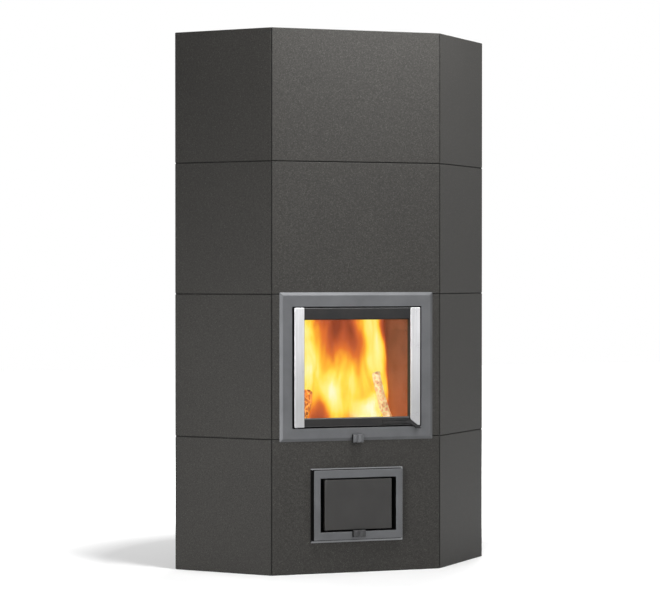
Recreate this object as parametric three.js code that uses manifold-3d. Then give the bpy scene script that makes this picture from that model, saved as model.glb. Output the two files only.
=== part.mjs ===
// A corner stove: a five-sided shell of large dark tiles around a heat-storing core,
// with a glazed fire door and an ash hatch in its front face.
//
// Millimetres, +Z up, front towards -Y. The stove is drawn with the front tiles' plane at y = 0,
// and the whole group is then moved so that the origin is at the middle of its footprint.
import * as THREE from 'three';
import { mergeVertices } from 'three/addons/utils/BufferGeometryUtils.js';
import Module from 'manifold-3d';

const wasm = await Module();
wasm.setup();

// ---------------------------------------------------------------- driving dimensions

// Shell of tiles: a square whose front corner is cut off, standing in a room's corner.
const frontWidth = 595;
const cheekWidth = 370;
const bottomCourseHeight = 450;
const upperCourseHeight = 440;
const topCourseHeight = 440;
const tileThickness = 50;
const tileEase = 2;
const jointWidth = 3;
const jointSetback = 4;
const jointDepth = 30;

// Clearances between neighbouring pieces.
const fitGap = 0.3;
const cutGap = 2;
const expansionGap = 12;
const overrun = 1;

// Fire door frame: a bevelled plate on the tile, a sleeve through it and a lip for the seal.
const fireFrameWidth = 540;
const fireFrameHeight = 495;
const fireFrameFootOverlap = 9;
const fireFrameHeadOverlap = 6;
const fireFrameProud = 6;
const fireFrameBevel = 10;
const fireFrameSide = 42.5;
const fireFrameTop = 47.5;
const fireFrameFoot = 43.5;
const sleeveWall = 10;
const fireLipDepth = 34;
const fireLipOverlap = 6;

// Fire door: a cast leaf that carries the strips, the glass and the handle.
const doorGapSide = 6;
const doorGapTop = 3.5;
const doorGapFoot = 4;
const doorProud = 6;
const doorDepth = 26;
const doorWebDepth = 6;
const windowSide = 37.5;
const windowTop = 40.5;
const windowFoot = 29.5;
const stripWidth = 34;
const stripThickness = 7;
const stripEase = 1.5;
const stripCutWidth = 25;
const stripCutHeight = 20.5;
const glassOverlap = 9;
const glassThickness = 4;
const retainerThickness = 3;
const retainerWidth = 8;
const gasketWidth = 8;
const gasketInset = 16.5;
const hingeInset = 13.5;
const hingeDepth = 1;
const hingePinRadius = 3;
const hingePinHold = 8;
const hingePinReach = 18;
const hingeCollarRadius = 6;

// Door handle: a lever in the door's foot, with a wedge-shaped nose that stands out.
const leverLength = 94;
const leverHeight = 10.5;
const leverThickness = 8;
const leverRise = 5;
const leverProud = 1;
const trunnionRadius = 2;
const trunnionReach = 4;
const noseDrop = 26;
const noseReach = 26;
const noseOverhang = 36;

// Ash hatch: a stepped frame on the tile and a plain panel on one hinge rod.
const hatchFlangeWidth = 324;
const hatchFlangeHeight = 247;
const hatchFlangeBottom = 103;
const hatchFlangeThickness = 3;
const hatchRingStepSide = 6.5;
const hatchRingStepTop = 5;
const hatchRingStepFoot = 9;
const hatchRingProud = 20;
const hatchNeck = 2;
const hatchNeckInset = 2.5;
const hatchRingSide = 22.5;
const hatchRingBar = 27;
const hatchLipDepth = 14;
const hatchLipSide = 29;
const hatchLipBar = 18;
const hatchPanelProud = 18;
const hatchPanelRear = 2;
const hatchGapSide = 15;
const hatchGapTop = 5;
const hatchGapFoot = 6;
const hatchSealOverlap = 6;
const hatchEase = 2;
const hatchHingeInset = 8;
const hatchHingeDepth = 8;
const hatchRodRadius = 3;
const hatchRodHold = 12;

// Air sliders: a knob in front of a frame's lower bar, a stem and a head that slides behind it.
const fireKnobWidth = 37;
const fireKnobHeight = 27;
const fireKnobDrop = 6;
const hatchKnobWidth = 44;
const hatchKnobHeight = 23;
const hatchKnobRise = 5;
const knobDepth = 14;
const knobEase = 4;
const sliderTravel = 12;
const stemWidth = 9;
const stemHeight = 6;
const headWidth = 40;
const headMargin = 4.5;
const fireHeadThickness = 2.4;
const hatchHeadThickness = 5.4;

// Heat-storing core, from the floor up.
const hearthThickness = 60;
const hearthDrop = 24.5;
const lintelHeight = 30;
const lintelDepth = 60;
const lintelClearance = 1.5;
const fireboxInset = 27.5;
const fireboxDepth = 338;
const liningThickness = 40;
const liningGap = 0.5;
const chamberFloorRise = 1;
const ashChamberWidth = 220;
const ashChamberDepth = 388;
const guardGap = 1;
const guardThickness = 12;
const guardHeight = 40;
const throatThickness = 60;
const throatWidth = 320;
const throatDepth = 100;
const smokeWidth = 300;
const smokeDepth = 330;
const smokeStart = 78;
const lowerStorageHeight = 290;
const baffleThickness = 50;
const baffleSlot = 100;
const coreCapThickness = 75;
const topCoverThickness = 35;
const topCoverDrop = 10;

// Grate, ash pan and flue collar.
const grateWidth = 220;
const grateDepth = 240;
const grateThickness = 20;
const grateLedge = 15;
const grateRim = 18;
const grateBar = 10;
const grateSlot = 9;
const grateSetback = 88;
const panWidth = 200;
const panDepth = 360;
const panHeight = 80;
const panWall = 3;
const panSetback = 8;
const panGripWidth = 60;
const panGripReach = 6;
const panGripThickness = 4;
const flueRadius = 90;
const flueWall = 3;
const flueSetback = 303;
const flueRise = 25;
const flueSink = 65;
const flueFlangeWidth = 15;
const flueFlangeThickness = 3;
const flueClearance = 0.6;

// Facets of round things.
const pinSegments = 16;
const flueSegments = 48;

// ---------------------------------------------------------------- materials

const paint = (color, roughness, metalness = 0) =>
  new THREE.MeshStandardMaterial({ color, roughness, metalness });

const tileMaterial = paint(0x4a4947, 0.55);
const mortarMaterial = paint(0x1d1c1b, 0.95);
const concreteMaterial = paint(0x8d8880, 0.95);
const refractoryMaterial = paint(0xa08a6c, 0.95);
const castIronMaterial = paint(0x2b2b2c, 0.7, 0.6);
const frameMaterial = paint(0x6e6f71, 0.5, 0.5);
const steelMaterial = paint(0xc9c9cb, 0.3, 1.0);
const sheetSteelMaterial = paint(0x5d5e60, 0.45, 0.9);
const glassMaterial = paint(0x141210, 0.05);
glassMaterial.transparent = true;
glassMaterial.opacity = 0.35;
const ropeMaterial = paint(0x55524c, 1.0);

// ---------------------------------------------------------------- solids

// Turns a closed geometry into a solid that can be joined and cut.
function solid(geometry) {
  const plain = geometry.clone();
  plain.deleteAttribute('normal');
  plain.deleteAttribute('uv');
  const merged = mergeVertices(plain, 1e-3);
  return new wasm.Manifold(new wasm.Mesh({
    numProp: 3,
    vertProperties: new Float32Array(merged.attributes.position.array),
    triVerts: new Uint32Array(merged.index.array),
  }));
}

function geometryOf(body) {
  const mesh = body.getMesh();
  const geometry = new THREE.BufferGeometry();
  geometry.setAttribute('position', new THREE.BufferAttribute(new Float32Array(mesh.vertProperties), 3));
  geometry.setIndex(new THREE.BufferAttribute(new Uint32Array(mesh.triVerts), 1));
  const faceted = geometry.toNonIndexed();
  faceted.computeVertexNormals();
  return faceted;
}

const cut = (body, ...tools) => tools.reduce((rest, tool) => rest.subtract(tool), body);
const join = (body, ...others) => others.reduce((whole, other) => whole.add(other), body);

// A block between two corners, each range given as [low, high].
function block([x0, x1], [y0, y1], [z0, z1]) {
  const geometry = new THREE.BoxGeometry(x1 - x0, y1 - y0, z1 - z0);
  geometry.translate((x0 + x1) / 2, (y0 + y1) / 2, (z0 + z1) / 2);
  return solid(geometry);
}

// A plan outline raised from z0 to z1.
function prism(outline, z0, z1) {
  const options = { depth: z1 - z0, bevelEnabled: false };
  const geometry = new THREE.ExtrudeGeometry(new THREE.Shape(outline), options);
  geometry.translate(0, 0, z0);
  return solid(geometry);
}

// An outline in X and Z, drawn out from y0 back to y1.
function frontPrism(outline, y0, y1) {
  const options = { depth: y1 - y0, bevelEnabled: false };
  const geometry = new THREE.ExtrudeGeometry(new THREE.Shape(outline), options);
  geometry.rotateX(Math.PI / 2);
  geometry.translate(0, y1, 0);
  return solid(geometry);
}

// An upright round bar.
function upright(x, y, radius, z0, z1, segments = pinSegments) {
  const geometry = new THREE.CylinderGeometry(radius, radius, z1 - z0, segments);
  geometry.rotateX(Math.PI / 2);
  geometry.translate(x, y, (z0 + z1) / 2);
  return solid(geometry);
}

// Rectangles in X and Z at several depths, skinned into one solid from front to back.
function rectangleLoft(rings) {
  const positions = rings.flatMap(({ x: [x0, x1], y, z: [z0, z1] }) => [
    x0, y, z0,
    x1, y, z0,
    x1, y, z1,
    x0, y, z1,
  ]);
  const faces = [0, 1, 2, 0, 2, 3];
  for (let ring = 0; ring < rings.length - 1; ring += 1) {
    const near = ring * 4;
    const far = near + 4;
    for (let side = 0; side < 4; side += 1) {
      const next = (side + 1) % 4;
      faces.push(near + side, far + side, far + next);
      faces.push(near + side, far + next, near + next);
    }
  }
  const last = (rings.length - 1) * 4;
  faces.push(last, last + 2, last + 1, last, last + 3, last + 2);
  const geometry = new THREE.BufferGeometry();
  geometry.setAttribute('position', new THREE.Float32BufferAttribute(positions, 3));
  geometry.setIndex(faces);
  return solid(geometry);
}

const shrink = ([low, high], by) => [low + by, high - by];
const past = ([low, high], by = overrun) => [low - by, high + by];
const both = (half) => [-half, half];
const points = (...pairs) => pairs.map(([x, y]) => new THREE.Vector2(x, y));

// ---------------------------------------------------------------- scene graph

const stove = new THREE.Group();

function addPiece(name, body, material, parent = stove) {
  const mesh = new THREE.Mesh(geometryOf(body), material);
  mesh.name = name;
  parent.add(mesh);
  return mesh;
}

// ---------------------------------------------------------------- courses and plan of the shell

// The fire door frame covers the joints above and below its own course.
const courses = [
  { name: 'bottom', height: bottomCourseHeight },
  { name: 'firebox', height: fireFrameHeight - fireFrameFootOverlap - fireFrameHeadOverlap },
  { name: 'upper', height: upperCourseHeight },
  { name: 'top', height: topCourseHeight },
];

const cheekRun = cheekWidth * Math.SQRT1_2;
const frontHalf = frontWidth / 2;
const wallWidth = (frontHalf + cheekRun) * Math.SQRT2;
const rearCorner = frontHalf + 2 * cheekRun;
const stoveHeight = courses.reduce((sum, course) => sum + course.height, 0);

// The five faces in order round the plan; each turns by an angle at its far end.
const faces = [
  { name: 'front', width: frontWidth, turn: 45 },
  { name: 'right_cheek', width: cheekWidth, turn: 90 },
  { name: 'right_back', width: wallWidth, turn: 90 },
  { name: 'left_back', width: wallWidth, turn: 90 },
  { name: 'left_cheek', width: cheekWidth, turn: 45 },
];

// Where each face starts and which way it runs.
let walkX = -frontHalf;
let walkY = 0;
let heading = 0;
faces.forEach((face, index) => {
  const before = faces[(index + faces.length - 1) % faces.length];
  face.x = walkX;
  face.y = walkY;
  face.heading = heading;
  face.startMitre = THREE.MathUtils.degToRad(before.turn / 2);
  face.endMitre = THREE.MathUtils.degToRad(face.turn / 2);
  walkX += face.width * Math.cos(heading);
  walkY += face.width * Math.sin(heading);
  heading += THREE.MathUtils.degToRad(face.turn);
});

// The plan outline moved inwards from the tiles' outer faces.
function planInset(inset) {
  const slant = inset * Math.SQRT2;
  return points(
    [-(frontHalf + inset - slant), inset],
    [frontHalf + inset - slant, inset],
    [frontHalf + cheekRun - slant, cheekRun],
    [0, rearCorner - slant],
    [-(frontHalf + cheekRun - slant), cheekRun],
  );
}

// ---------------------------------------------------------------- where the doors sit

const courseBase = (index) => courses.slice(0, index).reduce((sum, course) => sum + course.height, 0);

const fireFrame = {};
fireFrame.x = both(fireFrameWidth / 2);
fireFrame.z = [courseBase(1) - fireFrameFootOverlap, courseBase(2) + fireFrameHeadOverlap];
fireFrame.openX = shrink(fireFrame.x, fireFrameSide);
fireFrame.openZ = [fireFrame.z[0] + fireFrameFoot, fireFrame.z[1] - fireFrameTop];
fireFrame.sleeveX = past(fireFrame.openX, sleeveWall);
fireFrame.sleeveZ = past(fireFrame.openZ, sleeveWall);

const door = {};
door.x = shrink(fireFrame.openX, doorGapSide);
door.z = [fireFrame.openZ[0] + doorGapFoot, fireFrame.openZ[1] - doorGapTop];
door.windowX = shrink(door.x, windowSide);
door.windowZ = [door.z[0] + windowFoot, door.z[1] - windowTop];
door.sealX = shrink(door.x, gasketInset);
door.sealZ = shrink(door.z, gasketInset);
door.hingeX = door.x[0] + hingeInset;

const hatch = {};
hatch.flangeX = both(hatchFlangeWidth / 2);
hatch.flangeZ = [hatchFlangeBottom, hatchFlangeBottom + hatchFlangeHeight];
hatch.ringX = shrink(hatch.flangeX, hatchRingStepSide);
hatch.ringZ = [hatch.flangeZ[0] + hatchRingStepFoot, hatch.flangeZ[1] - hatchRingStepTop];
hatch.openX = shrink(hatch.ringX, hatchRingSide);
hatch.openZ = shrink(hatch.ringZ, hatchRingBar);
hatch.sleeveX = past(hatch.openX, sleeveWall);
hatch.sleeveZ = past(hatch.openZ, sleeveWall);
hatch.lipX = shrink(hatch.openX, hatchLipSide);
hatch.lipZ = shrink(hatch.openZ, hatchLipBar);
hatch.panelX = shrink(hatch.openX, hatchGapSide);
hatch.panelZ = [hatch.openZ[0] + hatchGapFoot, hatch.openZ[1] - hatchGapTop];
hatch.hingeX = hatch.panelX[0] + hatchHingeInset;
hatch.hingeY = hatchHingeDepth - hatchPanelProud;

// ---------------------------------------------------------------- shell tiles

// One mitred tile: x along its face, y into the stove. Its outer edges are eased.
function tile(face, height) {
  const endGap = jointWidth / 2;
  const low = (depth) => endGap / Math.cos(face.startMitre) + depth * Math.tan(face.startMitre);
  const high = (depth) => face.width - endGap / Math.cos(face.endMitre) - depth * Math.tan(face.endMitre);
  return rectangleLoft([
    { x: shrink([low(0), high(0)], tileEase), y: 0, z: shrink([0, height], tileEase) },
    { x: [low(tileEase), high(tileEase)], y: tileEase, z: [0, height] },
    { x: [low(tileThickness), high(tileThickness)], y: tileThickness, z: [0, height] },
  ]);
}

// The hole in a front tile that a door frame's sleeve passes through, seen in the tile's own frame.
function tileHole(sleeveX, sleeveZ, tileBase) {
  const x = past(sleeveX, cutGap).map((value) => value + frontHalf);
  const z = past(sleeveZ, cutGap).map((value) => value - tileBase);
  return block(x, past([0, tileThickness]), z);
}

courses.forEach((course, level) => {
  const footJoint = level > 0 ? jointWidth / 2 : 0;
  const headJoint = level < courses.length - 1 ? jointWidth / 2 : 0;
  const tileBase = courseBase(level) + footJoint;
  const tileHeight = course.height - footJoint - headJoint;
  const holes = [
    tileHole(hatch.sleeveX, hatch.sleeveZ, tileBase),
    tileHole(fireFrame.sleeveX, fireFrame.sleeveZ, tileBase),
  ];
  faces.forEach((face) => {
    const holder = new THREE.Group();
    holder.position.set(face.x, face.y, tileBase);
    holder.rotation.z = face.heading;
    stove.add(holder);
    const plain = tile(face, tileHeight);
    const body = face.name === 'front' ? cut(plain, ...holes) : plain;
    addPiece(`${course.name}_${face.name}_tile`, body, tileMaterial, holder);
  });
});

// ---------------------------------------------------------------- joints between the tiles

// The place of the corner where a face starts: y runs inwards along the mitre.
function cornerMatrix(face) {
  return new THREE.Matrix4()
    .makeRotationZ(face.heading - face.startMitre)
    .setPosition(face.x, face.y, 0);
}

function cornerBead(face, gap) {
  const half = jointWidth / 2 - fitGap + gap;
  const depth = [jointSetback - gap, jointSetback + jointDepth + gap];
  return { x: both(half), y: depth, z: past([0, stoveHeight], gap), matrix: cornerMatrix(face) };
}

function placedBlock({ x, y, z, matrix }) {
  const geometry = new THREE.BoxGeometry(x[1] - x[0], y[1] - y[0], z[1] - z[0]);
  geometry.translate((x[0] + x[1]) / 2, (y[0] + y[1]) / 2, (z[0] + z[1]) / 2);
  geometry.applyMatrix4(matrix);
  return solid(geometry);
}

const cornerNames = {
  front: 'left_front',
  right_cheek: 'right_front',
  right_back: 'right_side',
  left_back: 'rear',
  left_cheek: 'left_side',
};
faces.forEach((face) => {
  const bead = cornerBead(face, 0);
  const holder = new THREE.Group();
  holder.applyMatrix4(bead.matrix);
  stove.add(holder);
  addPiece(`${cornerNames[face.name]}_corner_joint`, block(bead.x, bead.y, bead.z), mortarMaterial, holder);
});

courses.slice(1).forEach((course, index) => {
  const middle = courseBase(index + 1);
  const ring = cut(
    prism(planInset(jointSetback), middle - jointWidth / 2, middle + jointWidth / 2),
    prism(planInset(tileThickness), middle - jointWidth, middle + jointWidth),
    ...faces.map((face) => placedBlock(cornerBead(face, fitGap))),
  );
  addPiece(`${course.name}_bed_joint`, ring, mortarMaterial);
});

// ---------------------------------------------------------------- heights of the core

const coreFront = tileThickness + expansionGap;
const corePlan = planInset(coreFront);
const level = {};
level.chamberFloor = hatch.lipZ[0] + chamberFloorRise;
level.hearthTop = fireFrame.openZ[0] - hearthDrop;
level.hearthFoot = level.hearthTop - hearthThickness;
level.lintelFoot = fireFrame.sleeveZ[1] + lintelClearance;
level.fireboxTop = level.lintelFoot + lintelHeight;
level.throatTop = level.fireboxTop + throatThickness;
level.baffleFoot = level.throatTop + lowerStorageHeight;
level.baffleTop = level.baffleFoot + baffleThickness;
level.coverTop = stoveHeight - topCoverDrop;
level.capTop = level.coverTop - topCoverThickness;
level.capFoot = level.capTop - coreCapThickness;

// ---------------------------------------------------------------- base and ash chamber

addPiece('base_block', prism(planInset(tileThickness + fitGap), 0, level.chamberFloor), concreteMaterial);

const ashCavity = block(
  both(ashChamberWidth / 2),
  [coreFront - overrun, coreFront + ashChamberDepth],
  past([level.chamberFloor, level.hearthFoot]),
);
const ashBlock = prism(corePlan, level.chamberFloor, level.hearthFoot);
addPiece('ash_chamber_block', cut(ashBlock, ashCavity), refractoryMaterial);

const panX = both(panWidth / 2);
const panY = [coreFront + panSetback, coreFront + panSetback + panDepth];
const panZ = [level.chamberFloor + fitGap, level.chamberFloor + fitGap + panHeight];
const panGripY = [panY[0] - panGripReach, panY[0] + panWall];
const panGrip = block(both(panGripWidth / 2), panGripY, [panZ[1] - panGripThickness, panZ[1]]);
const ashPan = cut(
  join(block(panX, panY, panZ), panGrip),
  block(shrink(panX, panWall), shrink(panY, panWall), [panZ[0] + panWall, panZ[1] + overrun]),
);
addPiece('ash_pan', ashPan, sheetSteelMaterial);

// ---------------------------------------------------------------- hearth, grate and firebox

const grateX = both(grateWidth / 2);
const grateY = [coreFront + grateSetback, coreFront + grateSetback + grateDepth];
const grateFoot = level.hearthTop - grateThickness;
const hearth = cut(
  prism(corePlan, level.hearthFoot, level.hearthTop),
  block(past(grateX, liningGap), past(grateY, liningGap), [grateFoot, level.hearthTop + overrun]),
  block(shrink(grateX, grateLedge), shrink(grateY, grateLedge), past([level.hearthFoot, level.hearthTop])),
);
addPiece('hearth_slab', hearth, refractoryMaterial);

const slotPitch = grateBar + grateSlot;
const slotCount = Math.floor((grateWidth - 2 * grateRim + grateBar) / slotPitch);
const slotStart = -(slotCount * slotPitch - grateBar) / 2;
const slots = Array.from({ length: slotCount }, (_, index) => {
  const x = slotStart + index * slotPitch;
  return block([x, x + grateSlot], shrink(grateY, grateRim), past([grateFoot, level.hearthTop]));
});
addPiece('grate', cut(block(grateX, grateY, [grateFoot, level.hearthTop]), ...slots), castIronMaterial);

const fireboxHalf = fireFrame.openX[1] - fireboxInset;
const liningOuter = both(fireboxHalf + liningThickness);
const liningBack = coreFront + fireboxDepth;
const fireboxZ = [level.hearthTop, level.lintelFoot];
const cavityX = past(liningOuter, liningGap);
const cavityBack = liningBack + liningThickness + liningGap;
const fireboxCore = cut(
  prism(corePlan, level.hearthTop, level.fireboxTop),
  block(cavityX, [coreFront - overrun, cavityBack], [level.hearthTop - overrun, level.lintelFoot]),
  block(cavityX, [coreFront + lintelDepth, cavityBack], past(fireboxZ, lintelHeight + overrun)),
);
addPiece('firebox_core_block', fireboxCore, refractoryMaterial);

const liningY = [coreFront, liningBack];
const leftLining = block([liningOuter[0], -fireboxHalf], liningY, fireboxZ);
const rightLining = block([fireboxHalf, liningOuter[1]], liningY, fireboxZ);
const rearLining = block(liningOuter, [liningBack, liningBack + liningThickness], fireboxZ);
addPiece('left_firebrick', leftLining, refractoryMaterial);
addPiece('right_firebrick', rightLining, refractoryMaterial);
addPiece('rear_firebrick', rearLining, refractoryMaterial);

const guard = block(
  both(fireboxHalf - guardGap),
  [coreFront + guardGap, coreFront + guardGap + guardThickness],
  [level.hearthTop, level.hearthTop + guardHeight],
);
addPiece('ember_guard', guard, castIronMaterial);

// ---------------------------------------------------------------- throat, smoke chambers and top

const throatZ = [level.fireboxTop, level.throatTop];
const throatHole = block(both(throatWidth / 2), [liningBack - throatDepth, liningBack], past(throatZ));
addPiece('throat_slab', cut(prism(corePlan, ...throatZ), throatHole), refractoryMaterial);

const smokeX = both(smokeWidth / 2);
const smokeY = [coreFront + smokeStart, coreFront + smokeStart + smokeDepth];
const storageRing = (z0, z1) => cut(prism(corePlan, z0, z1), block(smokeX, smokeY, past([z0, z1])));
addPiece('lower_storage_block', storageRing(level.throatTop, level.baffleFoot), refractoryMaterial);
addPiece('upper_storage_block', storageRing(level.baffleTop, level.capFoot), refractoryMaterial);

const baffleZ = [level.baffleFoot, level.baffleTop];
const baffleHole = block(smokeX, [smokeY[0], smokeY[0] + baffleSlot], past(baffleZ));
addPiece('baffle_slab', cut(prism(corePlan, ...baffleZ), baffleHole), refractoryMaterial);

const flueY = coreFront + flueSetback;
const flueHoleRadius = flueRadius + flueClearance;
const flueHole = upright(0, flueY, flueHoleRadius, level.capFoot - overrun, stoveHeight, flueSegments);
addPiece('core_cap', cut(prism(corePlan, level.capFoot, level.capTop), flueHole), refractoryMaterial);
const cover = prism(planInset(tileThickness + fitGap), level.capTop, level.coverTop);
addPiece('top_cover', cut(cover, flueHole), concreteMaterial);

const collarTop = stoveHeight + flueRise;
const collarFoot = level.coverTop - flueSink;
const flangeTop = level.coverTop + flueFlangeThickness;
const collarProfile = points(
  [flueRadius - flueWall, collarFoot],
  [flueRadius, collarFoot],
  [flueRadius, level.coverTop],
  [flueRadius + flueFlangeWidth, level.coverTop],
  [flueRadius + flueFlangeWidth, flangeTop],
  [flueRadius, flangeTop],
  [flueRadius, collarTop],
  [flueRadius - flueWall, collarTop],
  [flueRadius - flueWall, collarFoot],
);
const collarGeometry = new THREE.LatheGeometry(collarProfile, flueSegments);
collarGeometry.rotateX(Math.PI / 2);
const collar = new THREE.Mesh(collarGeometry, sheetSteelMaterial);
collar.name = 'flue_collar';
collar.position.set(0, flueY, 0);
stove.add(collar);

// ---------------------------------------------------------------- air sliders

// The frame is cut for the stem and, behind a thin web, for the head.
function sliderCuts(knobZ, faceY, headThickness) {
  const middle = (knobZ.slotLow + knobZ.slotHigh) / 2;
  const reach = stemWidth / 2 + sliderTravel + fitGap;
  const headReach = headWidth / 2 + sliderTravel + fitGap;
  const slotZ = [middle - stemHeight / 2 - fitGap, middle + stemHeight / 2 + fitGap];
  return [
    block(both(reach), [faceY - overrun, overrun], slotZ),
    block(both(headReach), [-headThickness - 2 * fitGap, overrun], past(slotZ, headMargin)),
  ];
}

function airSlider(knobZ, knobWidth, faceY, headThickness) {
  const middle = (knobZ.slotLow + knobZ.slotHigh) / 2;
  const stemZ = [middle - stemHeight / 2, middle + stemHeight / 2];
  const knobBack = faceY - fitGap;
  const knobFront = knobBack - knobDepth;
  const knobX = both(knobWidth / 2);
  return join(
    rectangleLoft([
      { x: shrink(knobX, knobEase), y: knobFront, z: shrink(knobZ.range, knobEase) },
      { x: knobX, y: knobFront + knobEase, z: knobZ.range },
      { x: knobX, y: knobBack, z: knobZ.range },
    ]),
    block(both(stemWidth / 2), [knobBack - overrun, -fitGap], stemZ),
    block(both(headWidth / 2), [-headThickness - fitGap, -fitGap], past(stemZ, headMargin)),
  );
}

const fireKnobZ = { range: [fireFrame.z[0] - fireKnobDrop, fireFrame.z[0] - fireKnobDrop + fireKnobHeight] };
fireKnobZ.slotLow = fireFrame.z[0] + fireFrameBevel;
fireKnobZ.slotHigh = fireFrame.z[0] + fireFrameFoot - 2 * fireFrameBevel - headMargin;
const hatchKnobTop = hatch.openZ[0] + hatchKnobRise;
const hatchKnobZ = { range: [hatchKnobTop - hatchKnobHeight, hatchKnobTop] };
hatchKnobZ.slotLow = hatch.ringZ[0];
hatchKnobZ.slotHigh = hatch.openZ[0];

const upperSlider = airSlider(fireKnobZ, fireKnobWidth, -fireFrameProud, fireHeadThickness);
const lowerSlider = airSlider(hatchKnobZ, hatchKnobWidth, -hatchRingProud, hatchHeadThickness);
addPiece('upper_air_slider', upperSlider, frameMaterial);
addPiece('lower_air_slider', lowerSlider, frameMaterial);

// ---------------------------------------------------------------- fire door frame

const hingeBore = (z0, z1) => upright(door.hingeX, hingeDepth, hingePinRadius + fitGap, z0, z1);
const fireFrameBody = cut(
  rectangleLoft([
    { x: shrink(fireFrame.x, fireFrameBevel), y: -fireFrameProud, z: shrink(fireFrame.z, fireFrameBevel) },
    { x: fireFrame.x, y: 0, z: fireFrame.z },
    { x: fireFrame.sleeveX, y: 0, z: fireFrame.sleeveZ },
    { x: fireFrame.sleeveX, y: coreFront, z: fireFrame.sleeveZ },
  ]),
  block(fireFrame.openX, [-fireFrameProud - overrun, fireLipDepth], fireFrame.openZ),
  block(shrink(door.sealX, fireLipOverlap), [0, coreFront + overrun], shrink(door.sealZ, fireLipOverlap)),
  hingeBore(fireFrame.openZ[1] - overrun, fireFrame.openZ[1] + hingePinHold),
  hingeBore(fireFrame.openZ[0] - hingePinHold, fireFrame.openZ[0] + overrun),
  ...sliderCuts(fireKnobZ, -fireFrameProud, fireHeadThickness),
);
addPiece('fire_door_frame', fireFrameBody, frameMaterial);

// Hinge pins: the lower one has a collar that carries the leaf.
const pinHold = hingePinHold - fitGap;
const upperPinZ = [door.z[1] - hingePinReach + fitGap, fireFrame.openZ[1] + pinHold];
const lowerPinZ = [fireFrame.openZ[0] - pinHold, door.z[0] + hingePinReach - fitGap];
const upperPin = upright(door.hingeX, hingeDepth, hingePinRadius, ...upperPinZ);
const lowerPin = join(
  upright(door.hingeX, hingeDepth, hingePinRadius, ...lowerPinZ),
  upright(door.hingeX, hingeDepth, hingeCollarRadius, fireFrame.openZ[0] + fitGap, door.z[0] - fitGap),
);
addPiece('upper_hinge_pin', upperPin, steelMaterial);
addPiece('lower_hinge_pin', lowerPin, steelMaterial);

// ---------------------------------------------------------------- fire door

const leverZ = [door.z[0] + leverRise, door.z[0] + leverRise + leverHeight];
const leverAxisY = -doorProud - leverProud + leverThickness / 2;
const leverBack = leverAxisY + leverThickness / 2;
const leverEndX = door.windowX[1];
const leverAxisX = leverEndX - leverLength + leverThickness / 2;
const recessX = [leverEndX - leverLength - liningGap, leverEndX + leverThickness];
const trunnionZ = past(leverZ, trunnionReach);

const glassX = past(door.windowX, glassOverlap);
const glassZ = past(door.windowZ, glassOverlap);
const glassFront = doorWebDepth + fitGap;
const retainerFront = glassFront + glassThickness + fitGap;

const leaf = cut(
  block(door.x, [-doorProud, doorDepth], door.z),
  block(door.windowX, past([-doorProud, doorDepth]), door.windowZ),
  block(past(glassX, liningGap), [doorWebDepth, doorDepth + overrun], past(glassZ, liningGap)),
  block(recessX, [-doorProud - overrun, leverBack + liningGap], past(leverZ, liningGap)),
  upright(leverAxisX, leverAxisY, trunnionRadius + fitGap, ...past(trunnionZ, fitGap)),
  hingeBore(door.z[1] - hingePinReach, door.z[1] + overrun),
  hingeBore(door.z[0] - overrun, door.z[0] + hingePinReach),
);
addPiece('fire_door_leaf', leaf, castIronMaterial);

// A strip's section in plan: its outer front edge is eased. The right one is the left one mirrored.
function stripSection(side) {
  const outer = door.x[1];
  const inner = outer - stripWidth;
  const front = -doorProud - stripThickness;
  const outline = [
    [inner, front],
    [outer - stripEase, front],
    [outer, front + stripEase],
    [outer, -doorProud],
    [inner, -doorProud],
  ];
  return points(...outline.map(([x, y]) => [side * x, y]));
}

const stripCorner = frontPrism(
  points(
    [door.x[1] - stripWidth - overrun, door.z[0] - overrun],
    [door.x[1] - stripWidth + stripCutWidth, door.z[0] - overrun],
    [door.x[1] - stripWidth + stripCutWidth, door.z[0]],
    [door.x[1] - stripWidth, door.z[0] + stripCutHeight],
    [door.x[1] - stripWidth - overrun, door.z[0] + stripCutHeight],
  ),
  -doorProud - stripThickness - overrun,
  -doorProud + overrun,
);
addPiece('left_door_strip', prism(stripSection(-1), ...door.z), steelMaterial);
addPiece('right_door_strip', cut(prism(stripSection(1), ...door.z), stripCorner), steelMaterial);

addPiece('door_glass', block(glassX, [glassFront, glassFront + glassThickness], glassZ), glassMaterial);
const retainerY = [retainerFront, retainerFront + retainerThickness];
const retainer = cut(
  block(glassX, retainerY, glassZ),
  block(shrink(glassX, retainerWidth), past(retainerY), shrink(glassZ, retainerWidth)),
);
addPiece('glass_retainer', retainer, sheetSteelMaterial);

const gasketY = [doorDepth + fitGap, fireLipDepth - fitGap];
const gasket = cut(
  block(past(door.sealX, gasketWidth / 2), gasketY, past(door.sealZ, gasketWidth / 2)),
  block(shrink(door.sealX, gasketWidth / 2), past(gasketY), shrink(door.sealZ, gasketWidth / 2)),
);
addPiece('door_gasket', gasket, ropeMaterial);

// ---------------------------------------------------------------- door handle

// The lever lies in the leaf's foot and turns on its trunnion; its free end carries the nose.
const leverArc = new THREE.Shape();
leverArc.moveTo(leverAxisX, leverAxisY - leverThickness / 2);
leverArc.lineTo(leverEndX + leverThickness - liningGap, leverAxisY - leverThickness / 2);
leverArc.lineTo(leverEndX + leverThickness - liningGap, leverBack);
leverArc.lineTo(leverAxisX, leverBack);
leverArc.absarc(leverAxisX, leverAxisY, leverThickness / 2, Math.PI / 2, Math.PI * 1.5, false);
const lever = prism(leverArc.getPoints(pinSegments / 2), ...leverZ);

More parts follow.
